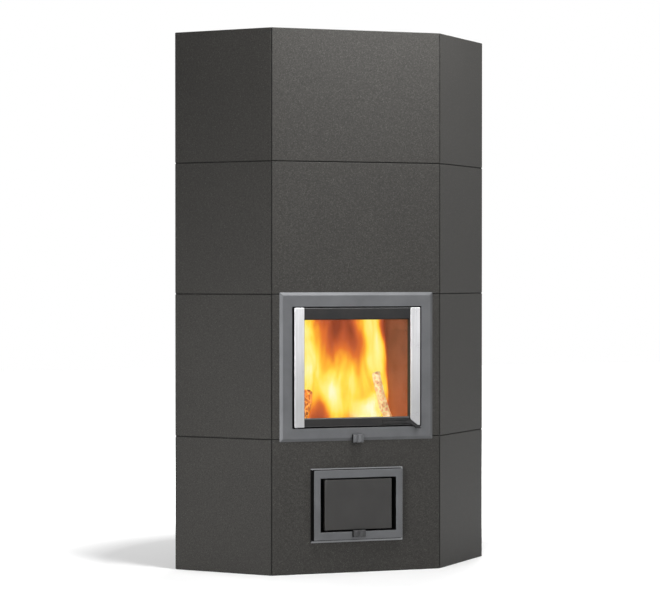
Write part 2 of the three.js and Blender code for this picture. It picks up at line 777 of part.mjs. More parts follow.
const cutStartX = door.x[1] - stripWidth;
const noseGap = liningGap * 2;
const noseTop = door.z[0] + stripCutHeight;
const noseTipX = leverEndX + noseOverhang;
const noseTipZ = leverZ[0] + leverHeight - noseDrop;
const slope = stripCutHeight / stripCutWidth;
const noseOutline = frontPrism(
  points(
    [leverEndX - leverThickness, leverZ[0]],
    [cutStartX, leverZ[0]],
    [noseTipX - leverHeight, noseTipZ],
    [noseTipX, noseTipZ],
    [noseTipX, noseTop - noseGap - slope * (noseTipX - cutStartX)],
    [cutStartX - noseGap, noseTop - noseGap],
    [leverEndX - leverThickness, leverZ[1]],
  ),
  -noseReach - overrun,
  0,
);
const noseWedge = prism(
  points(
    [leverEndX - leverThickness - overrun, -doorProud - leverProud],
    [noseTipX + overrun, -noseReach],
    [noseTipX + overrun, -doorProud - fitGap],
    [leverEndX - leverThickness - overrun, -doorProud - fitGap],
  ),
  noseTipZ - overrun,
  noseTop + overrun,
);
const nose = noseOutline.intersect(noseWedge);
const trunnion = upright(leverAxisX, leverAxisY, trunnionRadius, ...trunnionZ);
addPiece('door_handle', join(lever, nose, trunnion), castIronMaterial);

// ---------------------------------------------------------------- ash hatch

const hatchRingBack = -hatchFlangeThickness - hatchNeck;
const hatchFrameBody = cut(
  join(
    block(hatch.flangeX, [-hatchFlangeThickness, 0], hatch.flangeZ),
    block(
      shrink(hatch.ringX, hatchNeckInset),
      [hatchRingBack - overrun, -hatchFlangeThickness + overrun],
      shrink(hatch.ringZ, hatchNeckInset),
    ),
    rectangleLoft([
      { x: shrink(hatch.ringX, hatchEase), y: -hatchRingProud, z: shrink(hatch.ringZ, hatchEase) },
      { x: hatch.ringX, y: hatchEase - hatchRingProud, z: hatch.ringZ },
      { x: hatch.ringX, y: hatchRingBack, z: hatch.ringZ },
    ]),
    block(hatch.sleeveX, [-overrun, tileThickness], hatch.sleeveZ),
  ),
  block(hatch.openX, [-hatchRingProud - overrun, hatchLipDepth], hatch.openZ),
  block(hatch.lipX, [0, tileThickness + overrun], hatch.lipZ),
  upright(
    hatch.hingeX,
    hatch.hingeY,
    hatchRodRadius + fitGap,
    hatch.openZ[0] - hatchRodHold,
    hatch.openZ[1] + hatchRodHold,
  ),
  ...sliderCuts(hatchKnobZ, -hatchRingProud, hatchHeadThickness),
);
addPiece('ash_hatch_frame', hatchFrameBody, frameMaterial);

const hatchPanel = cut(
  join(
    rectangleLoft([
      { x: shrink(hatch.panelX, hatchEase), y: -hatchPanelProud, z: shrink(hatch.panelZ, hatchEase) },
      { x: hatch.panelX, y: hatchEase - hatchPanelProud, z: hatch.panelZ },
      { x: hatch.panelX, y: -hatchPanelRear, z: hatch.panelZ },
    ]),
    block(
      past(hatch.lipX, hatchSealOverlap),
      [-hatchPanelRear - overrun, hatchLipDepth - fitGap],
      past(hatch.lipZ, hatchSealOverlap),
    ),
  ),
  upright(hatch.hingeX, hatch.hingeY, hatchRodRadius + fitGap, ...past(hatch.panelZ)),
);
addPiece('ash_hatch', hatchPanel, tileMaterial);

const rodZ = past(hatch.openZ, hatchRodHold - fitGap);
addPiece('hatch_hinge_rod', upright(hatch.hingeX, hatch.hingeY, hatchRodRadius, ...rodZ), steelMaterial);

// ---------------------------------------------------------------- place of the whole stove

// The footprint runs from the foremost knob or nose to the rear corner.
const frontReach = Math.max(
  hatchRingProud + fitGap + knobDepth,
  fireFrameProud + fitGap + knobDepth,
  noseReach,
);
stove.position.y = -(rearCorner - frontReach) / 2;

export default new THREE.Group().add(stove);
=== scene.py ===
# %% [markdown]
# # A corner stove of large tiles
#
# The real object is a heat-storing stove for the corner of a room: a shell of plain dark tiles in four
# courses, a glazed fire door in a grey steel frame, and a small ash hatch below it. Its pieces and joints
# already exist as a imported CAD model. This script dresses that model for a picture.
#
# We load the CAD model first and measure it. Everything that follows takes its places from these nodes,
# so a piece made here can't drift away from the piece that it dresses.

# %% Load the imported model
import math

import bpy
import numpy as np
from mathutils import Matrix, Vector


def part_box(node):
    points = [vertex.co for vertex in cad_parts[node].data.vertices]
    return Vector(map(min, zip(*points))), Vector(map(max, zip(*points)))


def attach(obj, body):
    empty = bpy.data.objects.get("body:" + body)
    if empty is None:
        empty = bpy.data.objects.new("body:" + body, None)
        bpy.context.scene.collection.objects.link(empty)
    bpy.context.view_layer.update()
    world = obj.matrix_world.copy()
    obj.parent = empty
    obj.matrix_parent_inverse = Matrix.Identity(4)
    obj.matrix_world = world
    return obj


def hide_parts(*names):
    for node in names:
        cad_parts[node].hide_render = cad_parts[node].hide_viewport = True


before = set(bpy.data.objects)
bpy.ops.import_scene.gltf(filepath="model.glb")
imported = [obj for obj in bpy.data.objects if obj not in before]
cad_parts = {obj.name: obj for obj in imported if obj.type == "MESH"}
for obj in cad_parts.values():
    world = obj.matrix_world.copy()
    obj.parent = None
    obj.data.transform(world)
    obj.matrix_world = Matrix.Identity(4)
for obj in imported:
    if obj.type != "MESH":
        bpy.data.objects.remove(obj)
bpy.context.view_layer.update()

# %% [markdown]
# ## Measures that the pieces share
#
# Lengths are in metres. A millimetre constant keeps the small sizes readable. The front tiles' plane
# comes from the upper front tile's box, and each door's edges come from its node's box.

# %% Shared measures
MM = 0.001
FRONT_HALF = 297.5 * MM
CHEEK_WIDTH = 370 * MM
TILE_THICKNESS = 50 * MM
TILE_JOINT = 3 * MM
FRONT_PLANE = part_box("upper_front_tile")[0].y


def ranges(node):
    """The node's span in x and in z as two (low, high) pairs."""
    low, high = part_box(node)
    return (low.x, high.x), (low.z, high.z)


print("front plane at y =", round(FRONT_PLANE, 4))

# %% [markdown]
# ## Outlines and skins
#
# Most pieces of a stove are plates, bars and frames. Each could be a cube with bevels, but then its
# corners would be at the mercy of a modifier. Instead we write a piece as a stack of outlines: the same
# rounded outline again and again, each time a little smaller or a little deeper, with a skin between
# neighbours. A rolled edge is then an arc in that stack, and a frame is a stack that closes on itself.

# %% Outline helpers
def rectangle(x_range, z_range):
    """Four corners, counter-clockwise as seen from the front."""
    (x0, x1), (z0, z1) = x_range, z_range
    return np.array([(x0, z0), (x1, z0), (x1, z1), (x0, z1)], float)


def side_normals(corners):
    """Unit normals of the sides, pointing into a counter-clockwise outline."""
    sides = np.roll(corners, -1, axis=0) - corners
    sides /= np.linalg.norm(sides, axis=1, keepdims=True)
    return np.stack([-sides[:, 1], sides[:, 0]], axis=1)


def inset(corners, distance):
    """Each corner moves by distance * (n1 + n2) / (1 + n1.n2), where n1 and n2 are its sides' normals."""
    after = side_normals(corners)
    before = np.roll(after, 1, axis=0)
    cosine = np.sum(after * before, axis=1, keepdims=True)
    return corners + distance * (after + before) / (1 + cosine)


def rounded(corners, radius, steps=5):
    """Each corner becomes an arc: centre + r (cos a, sin a), with a turning from side to side.

    The centre is the corner moved inwards by r. At a corner that points inwards r counts as negative.
    """
    outward = -side_normals(corners)
    before = np.roll(outward, 1, axis=0)
    start = np.arctan2(before[:, 1], before[:, 0])
    turn = np.arctan2(outward[:, 1], outward[:, 0]) - start
    turn = (turn + np.pi) % (2 * np.pi) - np.pi
    signed = (np.sign(turn) * radius)[:, None]
    angle = start[:, None] + turn[:, None] * np.linspace(0, 1, steps + 1)
    circle = np.stack([np.cos(angle), np.sin(angle)], axis=-1)
    return (inset(corners, signed)[:, None, :] + signed[:, :, None] * circle).reshape(-1, 2)


def quarter(radius, steps=4):
    """A rolled edge as (inset, depth) pairs: inset r (1 - sin a), depth r (1 - cos a), a from 0 to 90."""
    angle = np.linspace(0, np.pi / 2, steps + 1)
    return [(radius * (1 - np.sin(a)), radius * (1 - np.cos(a))) for a in angle]


print("a 2 mm rolled edge has", len(quarter(2 * MM)), "levels")

# %% [markdown]
# A skin joins a stack of equal outlines with four-sided faces, all in one array operation. A grid does
# the same for a height field. Both give plain lists of points and faces, which one function turns into
# an object that rides on its body and stands for its CAD node.

# %% Skins and pieces
def skin(rings, loop=False):
    """Quads between each ring and the next.

    A loop joins the last ring to the first. Without it the first and the last ring become flat caps.
    """
    rings = np.asarray(rings, float)
    levels, count = rings.shape[:2]
    index = np.arange(levels * count).reshape(levels, count)
    near = index if loop else index[:-1]
    far = np.roll(index, -1, axis=0) if loop else index[1:]
    quads = np.stack([near, far, np.roll(far, -1, axis=1), np.roll(near, -1, axis=1)], axis=-1)
    faces = quads.reshape(-1, 4).tolist()
    if not loop:
        faces += [index[0].tolist(), index[-1][::-1].tolist()]
    return rings.reshape(-1, 3), faces


def grid(count):
    """Quads between the points of a square grid, and the walk once round its rim."""
    index = np.arange(count * count).reshape(count, count)
    quads = np.stack([index[:-1, :-1], index[:-1, 1:], index[1:, 1:], index[1:, :-1]], axis=-1)
    rim = np.concatenate([index[0, :-1], index[:-1, -1], index[-1, :0:-1], index[:0:-1, 0]])
    return quads.reshape(-1, 4).tolist(), rim


def signed_volume(mesh):
    """Sum over triangles of a . (b x c) / 6, which is negative when the faces point inwards."""
    mesh.calc_loop_triangles()
    corners = np.empty(len(mesh.loop_triangles) * 3, np.int32)
    mesh.loop_triangles.foreach_get("vertices", corners)
    places = np.empty(len(mesh.vertices) * 3, np.float32)
    mesh.vertices.foreach_get("co", places)
    a, b, c = places.reshape(-1, 3)[corners].reshape(-1, 3, 3).transpose(1, 0, 2).astype(float)
    return float(np.sum(a * np.cross(b, c)) / 6)


def piece(name, shape, material, body="stove", stands_for=(), sharp=35):
    """Makes a mesh object that rides on a body and, where asked, stands in for CAD nodes.

    A negative volume means that the faces point inwards, so they are turned. Edges above the sharp angle,
    in degrees, stay hard.
    """
    vertices, faces = shape
    mesh = bpy.data.meshes.new(name)
    mesh.from_pydata(np.asarray(vertices).tolist(), [], faces)
    if signed_volume(mesh) < 0:
        mesh.flip_normals()
    mesh.validate()
    mesh.shade_smooth()
    mesh.set_sharp_from_angle(angle=math.radians(sharp))
    made = bpy.data.objects.new(name, mesh)
    bpy.context.scene.collection.objects.link(made)
    mesh.materials.append(material)
    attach(made, body)
    if stands_for:
        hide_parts(*stands_for)
    return made


def weigh(made):
    """Lets large flat faces keep their own normals beside rolled edges."""
    modifier = made.modifiers.new("weigh", "WEIGHTED_NORMAL")
    modifier.keep_sharp = True
    return made


print("a grid of 3 by 3 points has", len(grid(3)[0]), "faces")

# %% [markdown]
# The stove's front is one upright plane, so the pieces of the doors are drawn as outlines in x and z and
# set at depths behind it. A negative depth stands out from the tiles. A plate is then a rolled front edge
# and a back, and a frame adds the rolled edge of its opening.

# %% From outlines to plates
def merge(*shapes):
    """Several shapes as one."""
    vertices = []
    faces = []
    start = 0
    for part_vertices, part_faces in shapes:
        vertices.append(np.asarray(part_vertices))
        faces += [[start + corner for corner in face] for face in part_faces]
        start += len(part_vertices)
    return np.concatenate(vertices), faces


def at_front(outline, depth):
    """An outline in x and z, set at a depth behind (positive) or before the front tiles' plane."""
    level = np.full(len(outline), FRONT_PLANE + depth)
    return np.stack([outline[:, 0], level, outline[:, 1]], axis=1)


def ring(corners, depth, radius):
    """One outline at one depth, its corners rounded to a radius."""
    return at_front(rounded(corners, radius), depth)


def rolled(corners, front, roll, radius):
    """The rings of a plate's front edge: the outline grows by a quarter circle as the depth grows."""
    least = roll / 5
    return [
        ring(inset(corners, gap), front + depth, max(radius - gap, least))
        for gap, depth in quarter(roll)
    ]


def plate(corners, front, back, roll, radius):
    """A plate with a rolled front edge and a plain back edge."""
    return skin(rolled(corners, front, roll, radius) + [ring(corners, back, radius)])


def opening_edge(corners, front, roll, radius):
    """The rings of a hole's rolled front edge, from inside the hole out onto the face."""
    return [
        ring(inset(corners, -gap), front + depth, radius + gap)
        for gap, depth in quarter(roll)[::-1]
    ]


def box_shape(x_range, depth_range, z_range):
    """A plain block, used only to carve with."""
    corners = rectangle(x_range, z_range)
    return skin([at_front(corners, depth) for depth in depth_range])


print("a block has", len(box_shape((0, 1), (0, 1), (0, 1))[1]), "faces")

# %% [markdown]
# Some holes can't be part of a stack of outlines, such as a slot in one bar of a frame. They are cut with
# a boolean modifier that is applied at once, so the mesh stays plain. Faces down in a gap can be painted
# with a further finish, such as a black painted shade, chosen by where their middles lie and where they
# look.

# %% Carving and painting
def carve(made, *cutters):
    """Cuts closed shapes out of a piece, one after the other, and keeps the plain result."""
    for vertices, faces in cutters:
        mesh = bpy.data.meshes.new("cutter")
        mesh.from_pydata(np.asarray(vertices).tolist(), [], faces)
        if signed_volume(mesh) < 0:
            mesh.flip_normals()
        cutter = bpy.data.objects.new("cutter", mesh)
        bpy.context.scene.collection.objects.link(cutter)
        modifier = made.modifiers.new("carve", "BOOLEAN")
        modifier.operation = "DIFFERENCE"
        modifier.object = cutter
        graph = bpy.context.evaluated_depsgraph_get()
        result = bpy.data.meshes.new_from_object(made.evaluated_get(graph))
        made.modifiers.clear()
        old = made.data
        made.data = result
        bpy.data.meshes.remove(old)
        bpy.data.objects.remove(cutter)
        bpy.data.meshes.remove(mesh)
    return made


def paint(made, material, choose):
    """Gives a further finish to the faces that choose() picks from their centres and normals."""
    mesh = made.data
    values = []
    for field in ("center", "normal"):
        flat = np.empty(len(mesh.polygons) * 3, np.float32)
        mesh.polygons.foreach_get(field, flat)
        values.append(flat.reshape(-1, 3))
    indices = np.empty(len(mesh.polygons), np.int32)
    mesh.polygons.foreach_get("material_index", indices)
    indices[choose(*values)] = len(mesh.materials)
    mesh.materials.append(material)
    mesh.polygons.foreach_set("material_index", indices)


print("ways to change a piece:", weigh.__name__, carve.__name__, paint.__name__)

# %% [markdown]
# ## A short way to write finishes
#
# Every finish here is a Principled shader fed by noise in Object coordinates, so a pattern keeps its real
# size on every piece and shows from all sides. The class below only shortens the calls. Image textures
# would be the other way, but they have one resolution, and these surfaces are looked at up close.

# %% Finish helper
def srgb(red, green, blue):
    """Screen values of 0 to 255 as the linear values that a shader takes."""
    value = np.array([red, green, blue], float) / 255
    linear = np.where(value <= 0.04045, value / 12.92, ((value + 0.055) / 1.055) ** 2.4)
    return (*linear.tolist(), 1.0)


class Finish:
    """A new material and short calls for its nodes."""

    def __init__(self, name):
        """Keeps the tree, the shader and the place on the object, in metres."""
        self.material = bpy.data.materials.new(name)
        self.material.use_nodes = True
        self.tree = self.material.node_tree
        self.shader = self.tree.nodes["Principled BSDF"]
        self.place = self.add("ShaderNodeTexCoord").outputs["Object"]

    def add(self, kind, **settings):
        """A new node with its settings."""
        made = self.tree.nodes.new(kind)
        for key, value in settings.items():
            setattr(made, key, value)
        return made

    def feed(self, socket, value):
        """Links a socket to another node's output, or sets it to a plain value."""
        if isinstance(value, bpy.types.NodeSocket):
            self.tree.links.new(value, socket)
        else:
            socket.default_value = value

    def stretched(self, stretch, turn=(0, 0, 0)):
        """Object coordinates, turned and scaled along each axis."""
        mapping = self.add("ShaderNodeMapping")
        self.feed(mapping.inputs["Vector"], self.place)
        self.feed(mapping.inputs["Scale"], stretch)
        self.feed(mapping.inputs["Rotation"], turn)
        return mapping.outputs["Vector"]

    def axes(self):
        """The place's X, Y and Z as three numbers."""
        split = self.add("ShaderNodeSeparateXYZ")
        self.feed(split.inputs[0], self.place)
        return split.outputs

    def noise(self, scale, detail=4, roughness=0.55, stretch=(1, 1, 1), turn=(0, 0, 0), curl=0.0):
        """Cloudy noise with about scale lumps in a metre. Curl folds it over itself."""
        texture = self.add("ShaderNodeTexNoise")
        self.feed(texture.inputs["Vector"], self.stretched(stretch, turn))
        self.feed(texture.inputs["Scale"], scale)
        self.feed(texture.inputs["Detail"], detail)
        self.feed(texture.inputs["Roughness"], roughness)
        self.feed(texture.inputs["Distortion"], curl)
        return texture.outputs["Fac"]

    def cells(self, scale, feature="F1", output="Distance"):
        """Irregular cells, about scale of them in a metre."""
        texture = self.add("ShaderNodeTexVoronoi", feature=feature)
        self.feed(texture.inputs["Vector"], self.place)
        self.feed(texture.inputs["Scale"], scale)
        return texture.outputs[output]

    def math(self, operation, first, second=0.0):
        """One reckoning with two numbers."""
        made = self.add("ShaderNodeMath", operation=operation)
        self.feed(made.inputs[0], first)
        self.feed(made.inputs[1], second)
        return made.outputs[0]

    def span(self, value, low, high, new_low=0.0, new_high=1.0):
        """Stretches a value's range from low..high to new_low..new_high, held at the ends."""
        made = self.add("ShaderNodeMapRange")
        for socket, number in zip(made.inputs[:5], (value, low, high, new_low, new_high)):
            self.feed(socket, number)
        return made.outputs[0]

    def ramp(self, factor, *stops):
        """Colours at places along a ramp: (place, colour) pairs."""
        made = self.add("ShaderNodeValToRGB")
        elements = made.color_ramp.elements
        for index, (place, colour) in enumerate(stops):
            stop = elements[index] if index < 2 else elements.new(place)
            stop.position = place
            stop.color = colour
        self.feed(made.inputs[0], factor)
        return made.outputs[0]

    def mix(self, factor, first, second, mode="MIX"):
        """The second colour over the first, as far as the factor says."""
        made = self.add("ShaderNodeMix", data_type="RGBA", blend_type=mode)
        self.feed(made.inputs[0], factor)
        self.feed(made.inputs[6], first)
        self.feed(made.inputs[7], second)
        return made.outputs[2]

    def bump(self, height, strength, distance):
        """Small relief: the height field tilts the light, its full step being the distance."""
        made = self.add("ShaderNodeBump")
        self.feed(made.inputs["Height"], height)
        self.feed(made.inputs["Strength"], strength)
        self.feed(made.inputs["Distance"], distance)
        self.feed(self.shader.inputs["Normal"], made.outputs["Normal"])

    def surface(self, colour, roughness, metallic=0.0):
        """Colour, roughness and metal in one call, which hands the material back."""
        self.feed(self.shader.inputs["Base Color"], colour)
        self.feed(self.shader.inputs["Roughness"], roughness)
        self.shader.inputs["Metallic"].default_value = metallic
        return self.material


print("mid grey, screen 128, is linear", round(srgb(128, 128, 128)[0], 3))

# %% [markdown]
# ## The tiles' finish
#
# The tiles are fired stoneware with a satin, almost black-grey skin. Up close it is mottled by pale and
# dark grains a few millimetres wide, and the grains catch the light one by one. So one fine noise drives
# three things together: the colour, the roughness and a shallow bump. A slow noise adds the cloudiness
# that a kiln leaves.

# %% Tiles, mortar and the black painted shade of the gaps
def tile_finish():
    """Grain drives colour, roughness and bump. Flecks lie over it and a slow cloud darkens it."""
    finish = Finish("satin stoneware")
    finish.shader.inputs["Specular IOR Level"].default_value = 0.1
    cloud = finish.noise(2.6, detail=3)
    grain = finish.noise(230, detail=5, roughness=0.7)
    fleck = finish.span(finish.noise(520, detail=2), 0.60, 0.72)
    base = finish.ramp(grain, (0.30, srgb(43, 42, 40)), (0.52, srgb(53, 52, 50)), (0.74, srgb(68, 67, 64)))
    clouded = finish.mix(finish.span(cloud, 0.3, 0.7, 0.0, 0.35), base, srgb(44, 43, 42))
    colour = finish.mix(finish.math("MULTIPLY", fleck, 0.22), clouded, srgb(150, 148, 143))
    finish.bump(grain, 0.22, 0.6 * MM)
    return finish.surface(colour, finish.span(grain, 0.25, 0.75, 0.40, 0.58))


def mortar_finish():
    """Fine sand in a nearly black paste."""
    finish = Finish("dark joint mortar")
    sand = finish.noise(900, detail=3)
    colour = finish.ramp(sand, (0.3, srgb(8, 7, 7)), (0.7, srgb(20, 19, 18)))
    finish.bump(sand, 0.6, 0.5 * MM)
    return finish.surface(colour, 0.95)


def painted_shade_black_finish():
    """Black painted shade for gaps, recesses and side walls, where shade falls."""
    finish = Finish("painted shade black")
    grain = finish.noise(700, detail=3)
    finish.shader.inputs["Specular IOR Level"].default_value = 0.1
    finish.bump(grain, 0.3, 0.3 * MM)
    return finish.surface(finish.ramp(grain, (0.3, srgb(4, 4, 4)), (0.7, srgb(12, 12, 12))), 0.9)


TILE = tile_finish()
MORTAR = mortar_finish()
PAINTED_SHADE_BLACK = painted_shade_black_finish()
print("made", TILE.name, MORTAR.name, PAINTED_SHADE_BLACK.name)

# %% [markdown]
# ## Metals
#
# Three metals meet at the doors. The frames are steel with a matt grey lacquer: half metallic, with a very
# fine grain. The strips are brushed steel, whose scratches run upright, so their noise is squeezed across
# and drawn out along Z. The door itself is cast iron, dark and faintly pebbled.

# %% Lacquer and brushed steel
DARKER_BELOW_HEIGHTS = (0.80, 0.56)


def lacquer_finish(name, dark, light, speck):
    """Two greys in slow clouds, under a grain of paler specks."""
    finish = Finish(name)
    grain = finish.noise(1400, detail=2)
    cloud = finish.noise(14, detail=3)
    base = finish.ramp(cloud, (0.3, dark), (0.7, light))
    colour = finish.mix(finish.span(grain, 0.35, 0.7, 0.0, 0.3), base, speck)
    finish.bump(grain, 0.12, 0.2 * MM)
    return finish.surface(colour, finish.span(grain, 0.3, 0.7, 0.44, 0.56), 0.5)


def brushed_finish():
    """Scratches drawn out along Z, and a darker grey towards the bottom, between two heights."""
    finish = Finish("upright brushed steel")
    scratch = finish.noise(900, detail=4, roughness=0.7, stretch=(1, 1, 0.01))
    smear = finish.noise(18, detail=2)
    polished = finish.ramp(scratch, (0.25, srgb(182, 182, 184)), (0.75, srgb(219, 219, 220)))
    # The strips turn a darker grey towards the bottom, between the two heights.
    darker_below = finish.span(finish.axes()["Z"], *DARKER_BELOW_HEIGHTS, 0.0, 0.75)
    colour = finish.mix(darker_below, polished, srgb(154, 154, 155))
    finish.bump(scratch, 0.10, 0.1 * MM)
    streaked = finish.math("MULTIPLY", scratch, 0.16)
    rough = finish.math("ADD", streaked, finish.span(smear, 0.3, 0.7, 0.20, 0.28))
    return finish.surface(colour, rough, 1.0)


LACQUER = lacquer_finish("grey steel lacquer", srgb(74, 75, 77), srgb(83, 84, 86), srgb(104, 105, 108))
DARK_LACQUER = lacquer_finish("dark knob lacquer", srgb(46, 46, 47), srgb(54, 54, 55), srgb(74, 74, 76))
# The flange's rim gets a paler copy of the lacquer: a painted highlight.
FLANGE_HIGHLIGHT_GREYS = (srgb(114, 115, 117), srgb(126, 127, 129), srgb(152, 153, 155))
FLANGE_HIGHLIGHT_LACQUER = lacquer_finish("painted flange rim highlight", *FLANGE_HIGHLIGHT_GREYS)
BRUSHED = brushed_finish()
print("made", LACQUER.name, DARK_LACQUER.name, FLANGE_HIGHLIGHT_LACQUER.name, BRUSHED.name)

# %% [markdown]
# The other metals are darker or plainer: black cast iron for the door, its handle and the grate, turned
# steel for the hinge pins, and rolled sheet for the ash pan, the flue collar and the glass holder. Each
# has one noise at the scale of its making, stretched the way the tool went.

# %% Iron, turned steel and sheet
def iron_finish(name, dark, light):
    """Pebbled iron with a faint brown bloom."""
    finish = Finish(name)
    finish.shader.inputs["Specular IOR Level"].default_value = 0.4
    pebble = finish.noise(420, detail=4, roughness=0.6)
    bloom = finish.noise(9, detail=4)
    base = finish.ramp(pebble, (0.3, dark), (0.7, light))
    colour = finish.mix(finish.span(bloom, 0.45, 0.75, 0.0, 0.4), base, srgb(48, 44, 41))
    finish.bump(pebble, 0.3, 0.4 * MM)
    return finish.surface(colour, finish.span(pebble, 0.3, 0.7, 0.40, 0.56), 0.35)


def turned_finish():
    """Lathe marks that run round an upright pin, so the noise is fine only along Z."""
    finish = Finish("turned black steel")
    lathe = finish.noise(2400, detail=2, stretch=(0.02, 0.02, 1))
    colour = finish.ramp(lathe, (0.3, srgb(20, 20, 21)), (0.7, srgb(40, 40, 42)))
    finish.bump(lathe, 0.2, 0.1 * MM)
    return finish.surface(colour, finish.span(lathe, 0.3, 0.7, 0.22, 0.34), 1.0)


def sheet_finish(name, dull, bright):
    """Rolled sheet: fine lines along Y over faint crystals."""
    finish = Finish(name)
    spangle = finish.cells(90, output="Color")
    rolled = finish.noise(300, detail=3, stretch=(1, 0.05, 1))
    shade = finish.mix(0.12, dull, spangle, "OVERLAY")
    colour = finish.mix(finish.span(rolled, 0.3, 0.7, 0.0, 0.5), shade, bright)
    finish.bump(rolled, 0.08, 0.1 * MM)
    return finish.surface(colour, finish.span(rolled, 0.3, 0.7, 0.30, 0.46), 0.9)


IRON = iron_finish("black cast iron", srgb(12, 12, 13), srgb(24, 24, 25))
# A paler iron on the door's outer and upward chamfers is a painted highlight.
EDGE_HIGHLIGHT_IRON = iron_finish("painted edge highlight iron", srgb(60, 60, 61), srgb(86, 86, 87))
TURNED = turned_finish()
SHEET = sheet_finish("mill-bright sheet steel", srgb(112, 114, 116), srgb(134, 135, 137))
SOOTED = sheet_finish("sooted sheet steel", srgb(30, 26, 24), srgb(46, 40, 36))
print("made", IRON.name, EDGE_HIGHLIGHT_IRON.name, TURNED.name, SHEET.name, SOOTED.name)

# %% [markdown]
# ## Core, lining and small finishes
#
# Behind the tiles the stove is cast concrete at the foot and top, refractory blocks with coarse grog in
# the middle, and firebricks round the fire. Concrete is a cloud with pores, refractory a cloud with
# grains of many shades.

# %% Concrete and refractory
def concrete_finish():
    """Cloudy grey with dark pores where a cell's middle is near."""
    finish = Finish("cast concrete")
    pore = finish.span(finish.cells(220), 0.0, 0.16)
    cloud = finish.noise(12, detail=6)
    base = finish.ramp(cloud, (0.3, srgb(112, 109, 104)), (0.7, srgb(148, 144, 137)))
    colour = finish.mix(pore, srgb(70, 67, 63), base)
    finish.bump(pore, 0.5, 0.8 * MM)
    return finish.surface(colour, 0.92)


def refractory_finish():
    """Pale with coarse grains. Close behind the tiles it turns reddish brown, with a painted glow there
    that stands in for the fire's light.
    """
    finish = Finish("grogged refractory")
    tiles_back = FRONT_PLANE + TILE_THICKNESS
    tint_and_glow_range = (tiles_back + 50 * MM, tiles_back + 90 * MM)
    # Close behind the tiles the colour turns reddish brown, and the same mask gives a painted glow of the
    # fire's light.
    tint_and_firelight_glow = finish.span(finish.axes()["Y"], *tint_and_glow_range, 1.0, 0.0)
    grog = finish.cells(260, output="Color")
    cloud = finish.noise(16, detail=5)
    base = finish.ramp(cloud, (0.3, srgb(150, 122, 92)), (0.7, srgb(182, 154, 120)))
    plain = finish.mix(0.16, base, grog, "SOFT_LIGHT")
    colour = finish.mix(tint_and_firelight_glow, plain, srgb(112, 62, 44))
    finish.feed(finish.shader.inputs["Emission Color"], srgb(220, 96, 36))
    finish.feed(finish.shader.inputs["Emission Strength"], finish.math("MULTIPLY", tint_and_firelight_glow, 0.12))
    finish.bump(finish.noise(500, detail=4), 0.5, 0.6 * MM)
    return finish.surface(colour, 0.9)


CONCRETE = concrete_finish()
REFRACTORY = refractory_finish()
print("made", CONCRETE.name, REFRACTORY.name)

# %% [markdown]
# The firebricks show their courses. A brick pattern is flat, but the lining stands on three sides of the
# fire, so the pattern is laid over x + y against z: on a side brick only y changes along a course, on the
# rear brick only x. The fire lights them from below, and a faint painted glow, strongest low down, stands
# in for that light.

# %% Firebrick
FIRELIGHT_GLOW_HEIGHTS = (0.47, 0.72)


def firebrick_finish():
    """Courses laid over x + y against z, pitted and sooted, with a painted glow of the fire's light,
    strongest low down.
    """
    finish = Finish("sooted firebrick")
    axes = finish.axes()
    flat = finish.add("ShaderNodeCombineXYZ")
    finish.feed(flat.inputs["X"], finish.math("ADD", axes["X"], axes["Y"]))
    finish.feed(flat.inputs["Y"], axes["Z"])
    bricks = finish.add("ShaderNodeTexBrick")
    finish.feed(bricks.inputs["Vector"], flat.outputs[0])
    settings = {
        "Color1": srgb(164, 102, 74),
        "Color2": srgb(150, 92, 65),
        "Mortar": srgb(136, 84, 60),
        "Scale": 1.0,
        "Mortar Size": 1.2 * MM,
        "Brick Width": 230 * MM,
        "Row Height": 115 * MM,
    }
    for key, value in settings.items():
        finish.feed(bricks.inputs[key], value)
    pits = finish.noise(260, detail=5)
    soot = finish.span(finish.noise(8, detail=5), 0.4, 0.75, 0.0, 0.55)
    pitted = finish.mix(finish.span(pits, 0.55, 0.8, 0.0, 0.5), bricks.outputs["Color"], srgb(120, 84, 60))
    colour = finish.mix(soot, pitted, srgb(46, 36, 30))
    height = finish.math("SUBTRACT", pits, bricks.outputs["Fac"])
    finish.bump(height, 0.5, 1.2 * MM)
    # The emission is a painted glow of the fire's light, strongest low down.
    finish.feed(finish.shader.inputs["Emission Color"], srgb(236, 110, 36))
    glow = finish.span(axes["Z"], *FIRELIGHT_GLOW_HEIGHTS, 0.30, 0.03)
    finish.feed(finish.shader.inputs["Emission Strength"], glow)
    return finish.surface(colour, 0.95)


FIREBRICK = firebrick_finish()
print("made", FIREBRICK.name)

# %% [markdown]
# Three small finishes remain. The pane is clear but for a little haze from the smoke. The hatch's panel
# is enamelled, smoother than the tiles. The rope that seals the door shows its slanting strands.

# %% Glass, enamel, rope
def glass_finish():
    """Clear glass with a breath of haze. A low index keeps the fire behind it in its place."""
    finish = Finish("ceramic fire glass")
    haze = finish.noise(6, detail=4)
    colour = finish.ramp(haze, (0.3, srgb(252, 248, 240)), (0.7, srgb(255, 253, 249)))
    finish.shader.inputs["Transmission Weight"].default_value = 1.0
    finish.shader.inputs["IOR"].default_value = 1.2
    return finish.surface(colour, finish.span(haze, 0.4, 0.8, 0.0, 0.006))


def enamel_finish():
    """Dark enamel with a fine orange peel."""
    finish = Finish("dark hatch enamel")
    finish.shader.inputs["Specular IOR Level"].default_value = 0.37
    peel = finish.noise(330, detail=2)
    cloud = finish.noise(10, detail=3)
    colour = finish.ramp(cloud, (0.3, srgb(32, 31, 30)), (0.7, srgb(40, 39, 38)))
    finish.bump(peel, 0.12, 0.4 * MM)
    return finish.surface(colour, finish.span(peel, 0.3, 0.7, 0.40, 0.52))


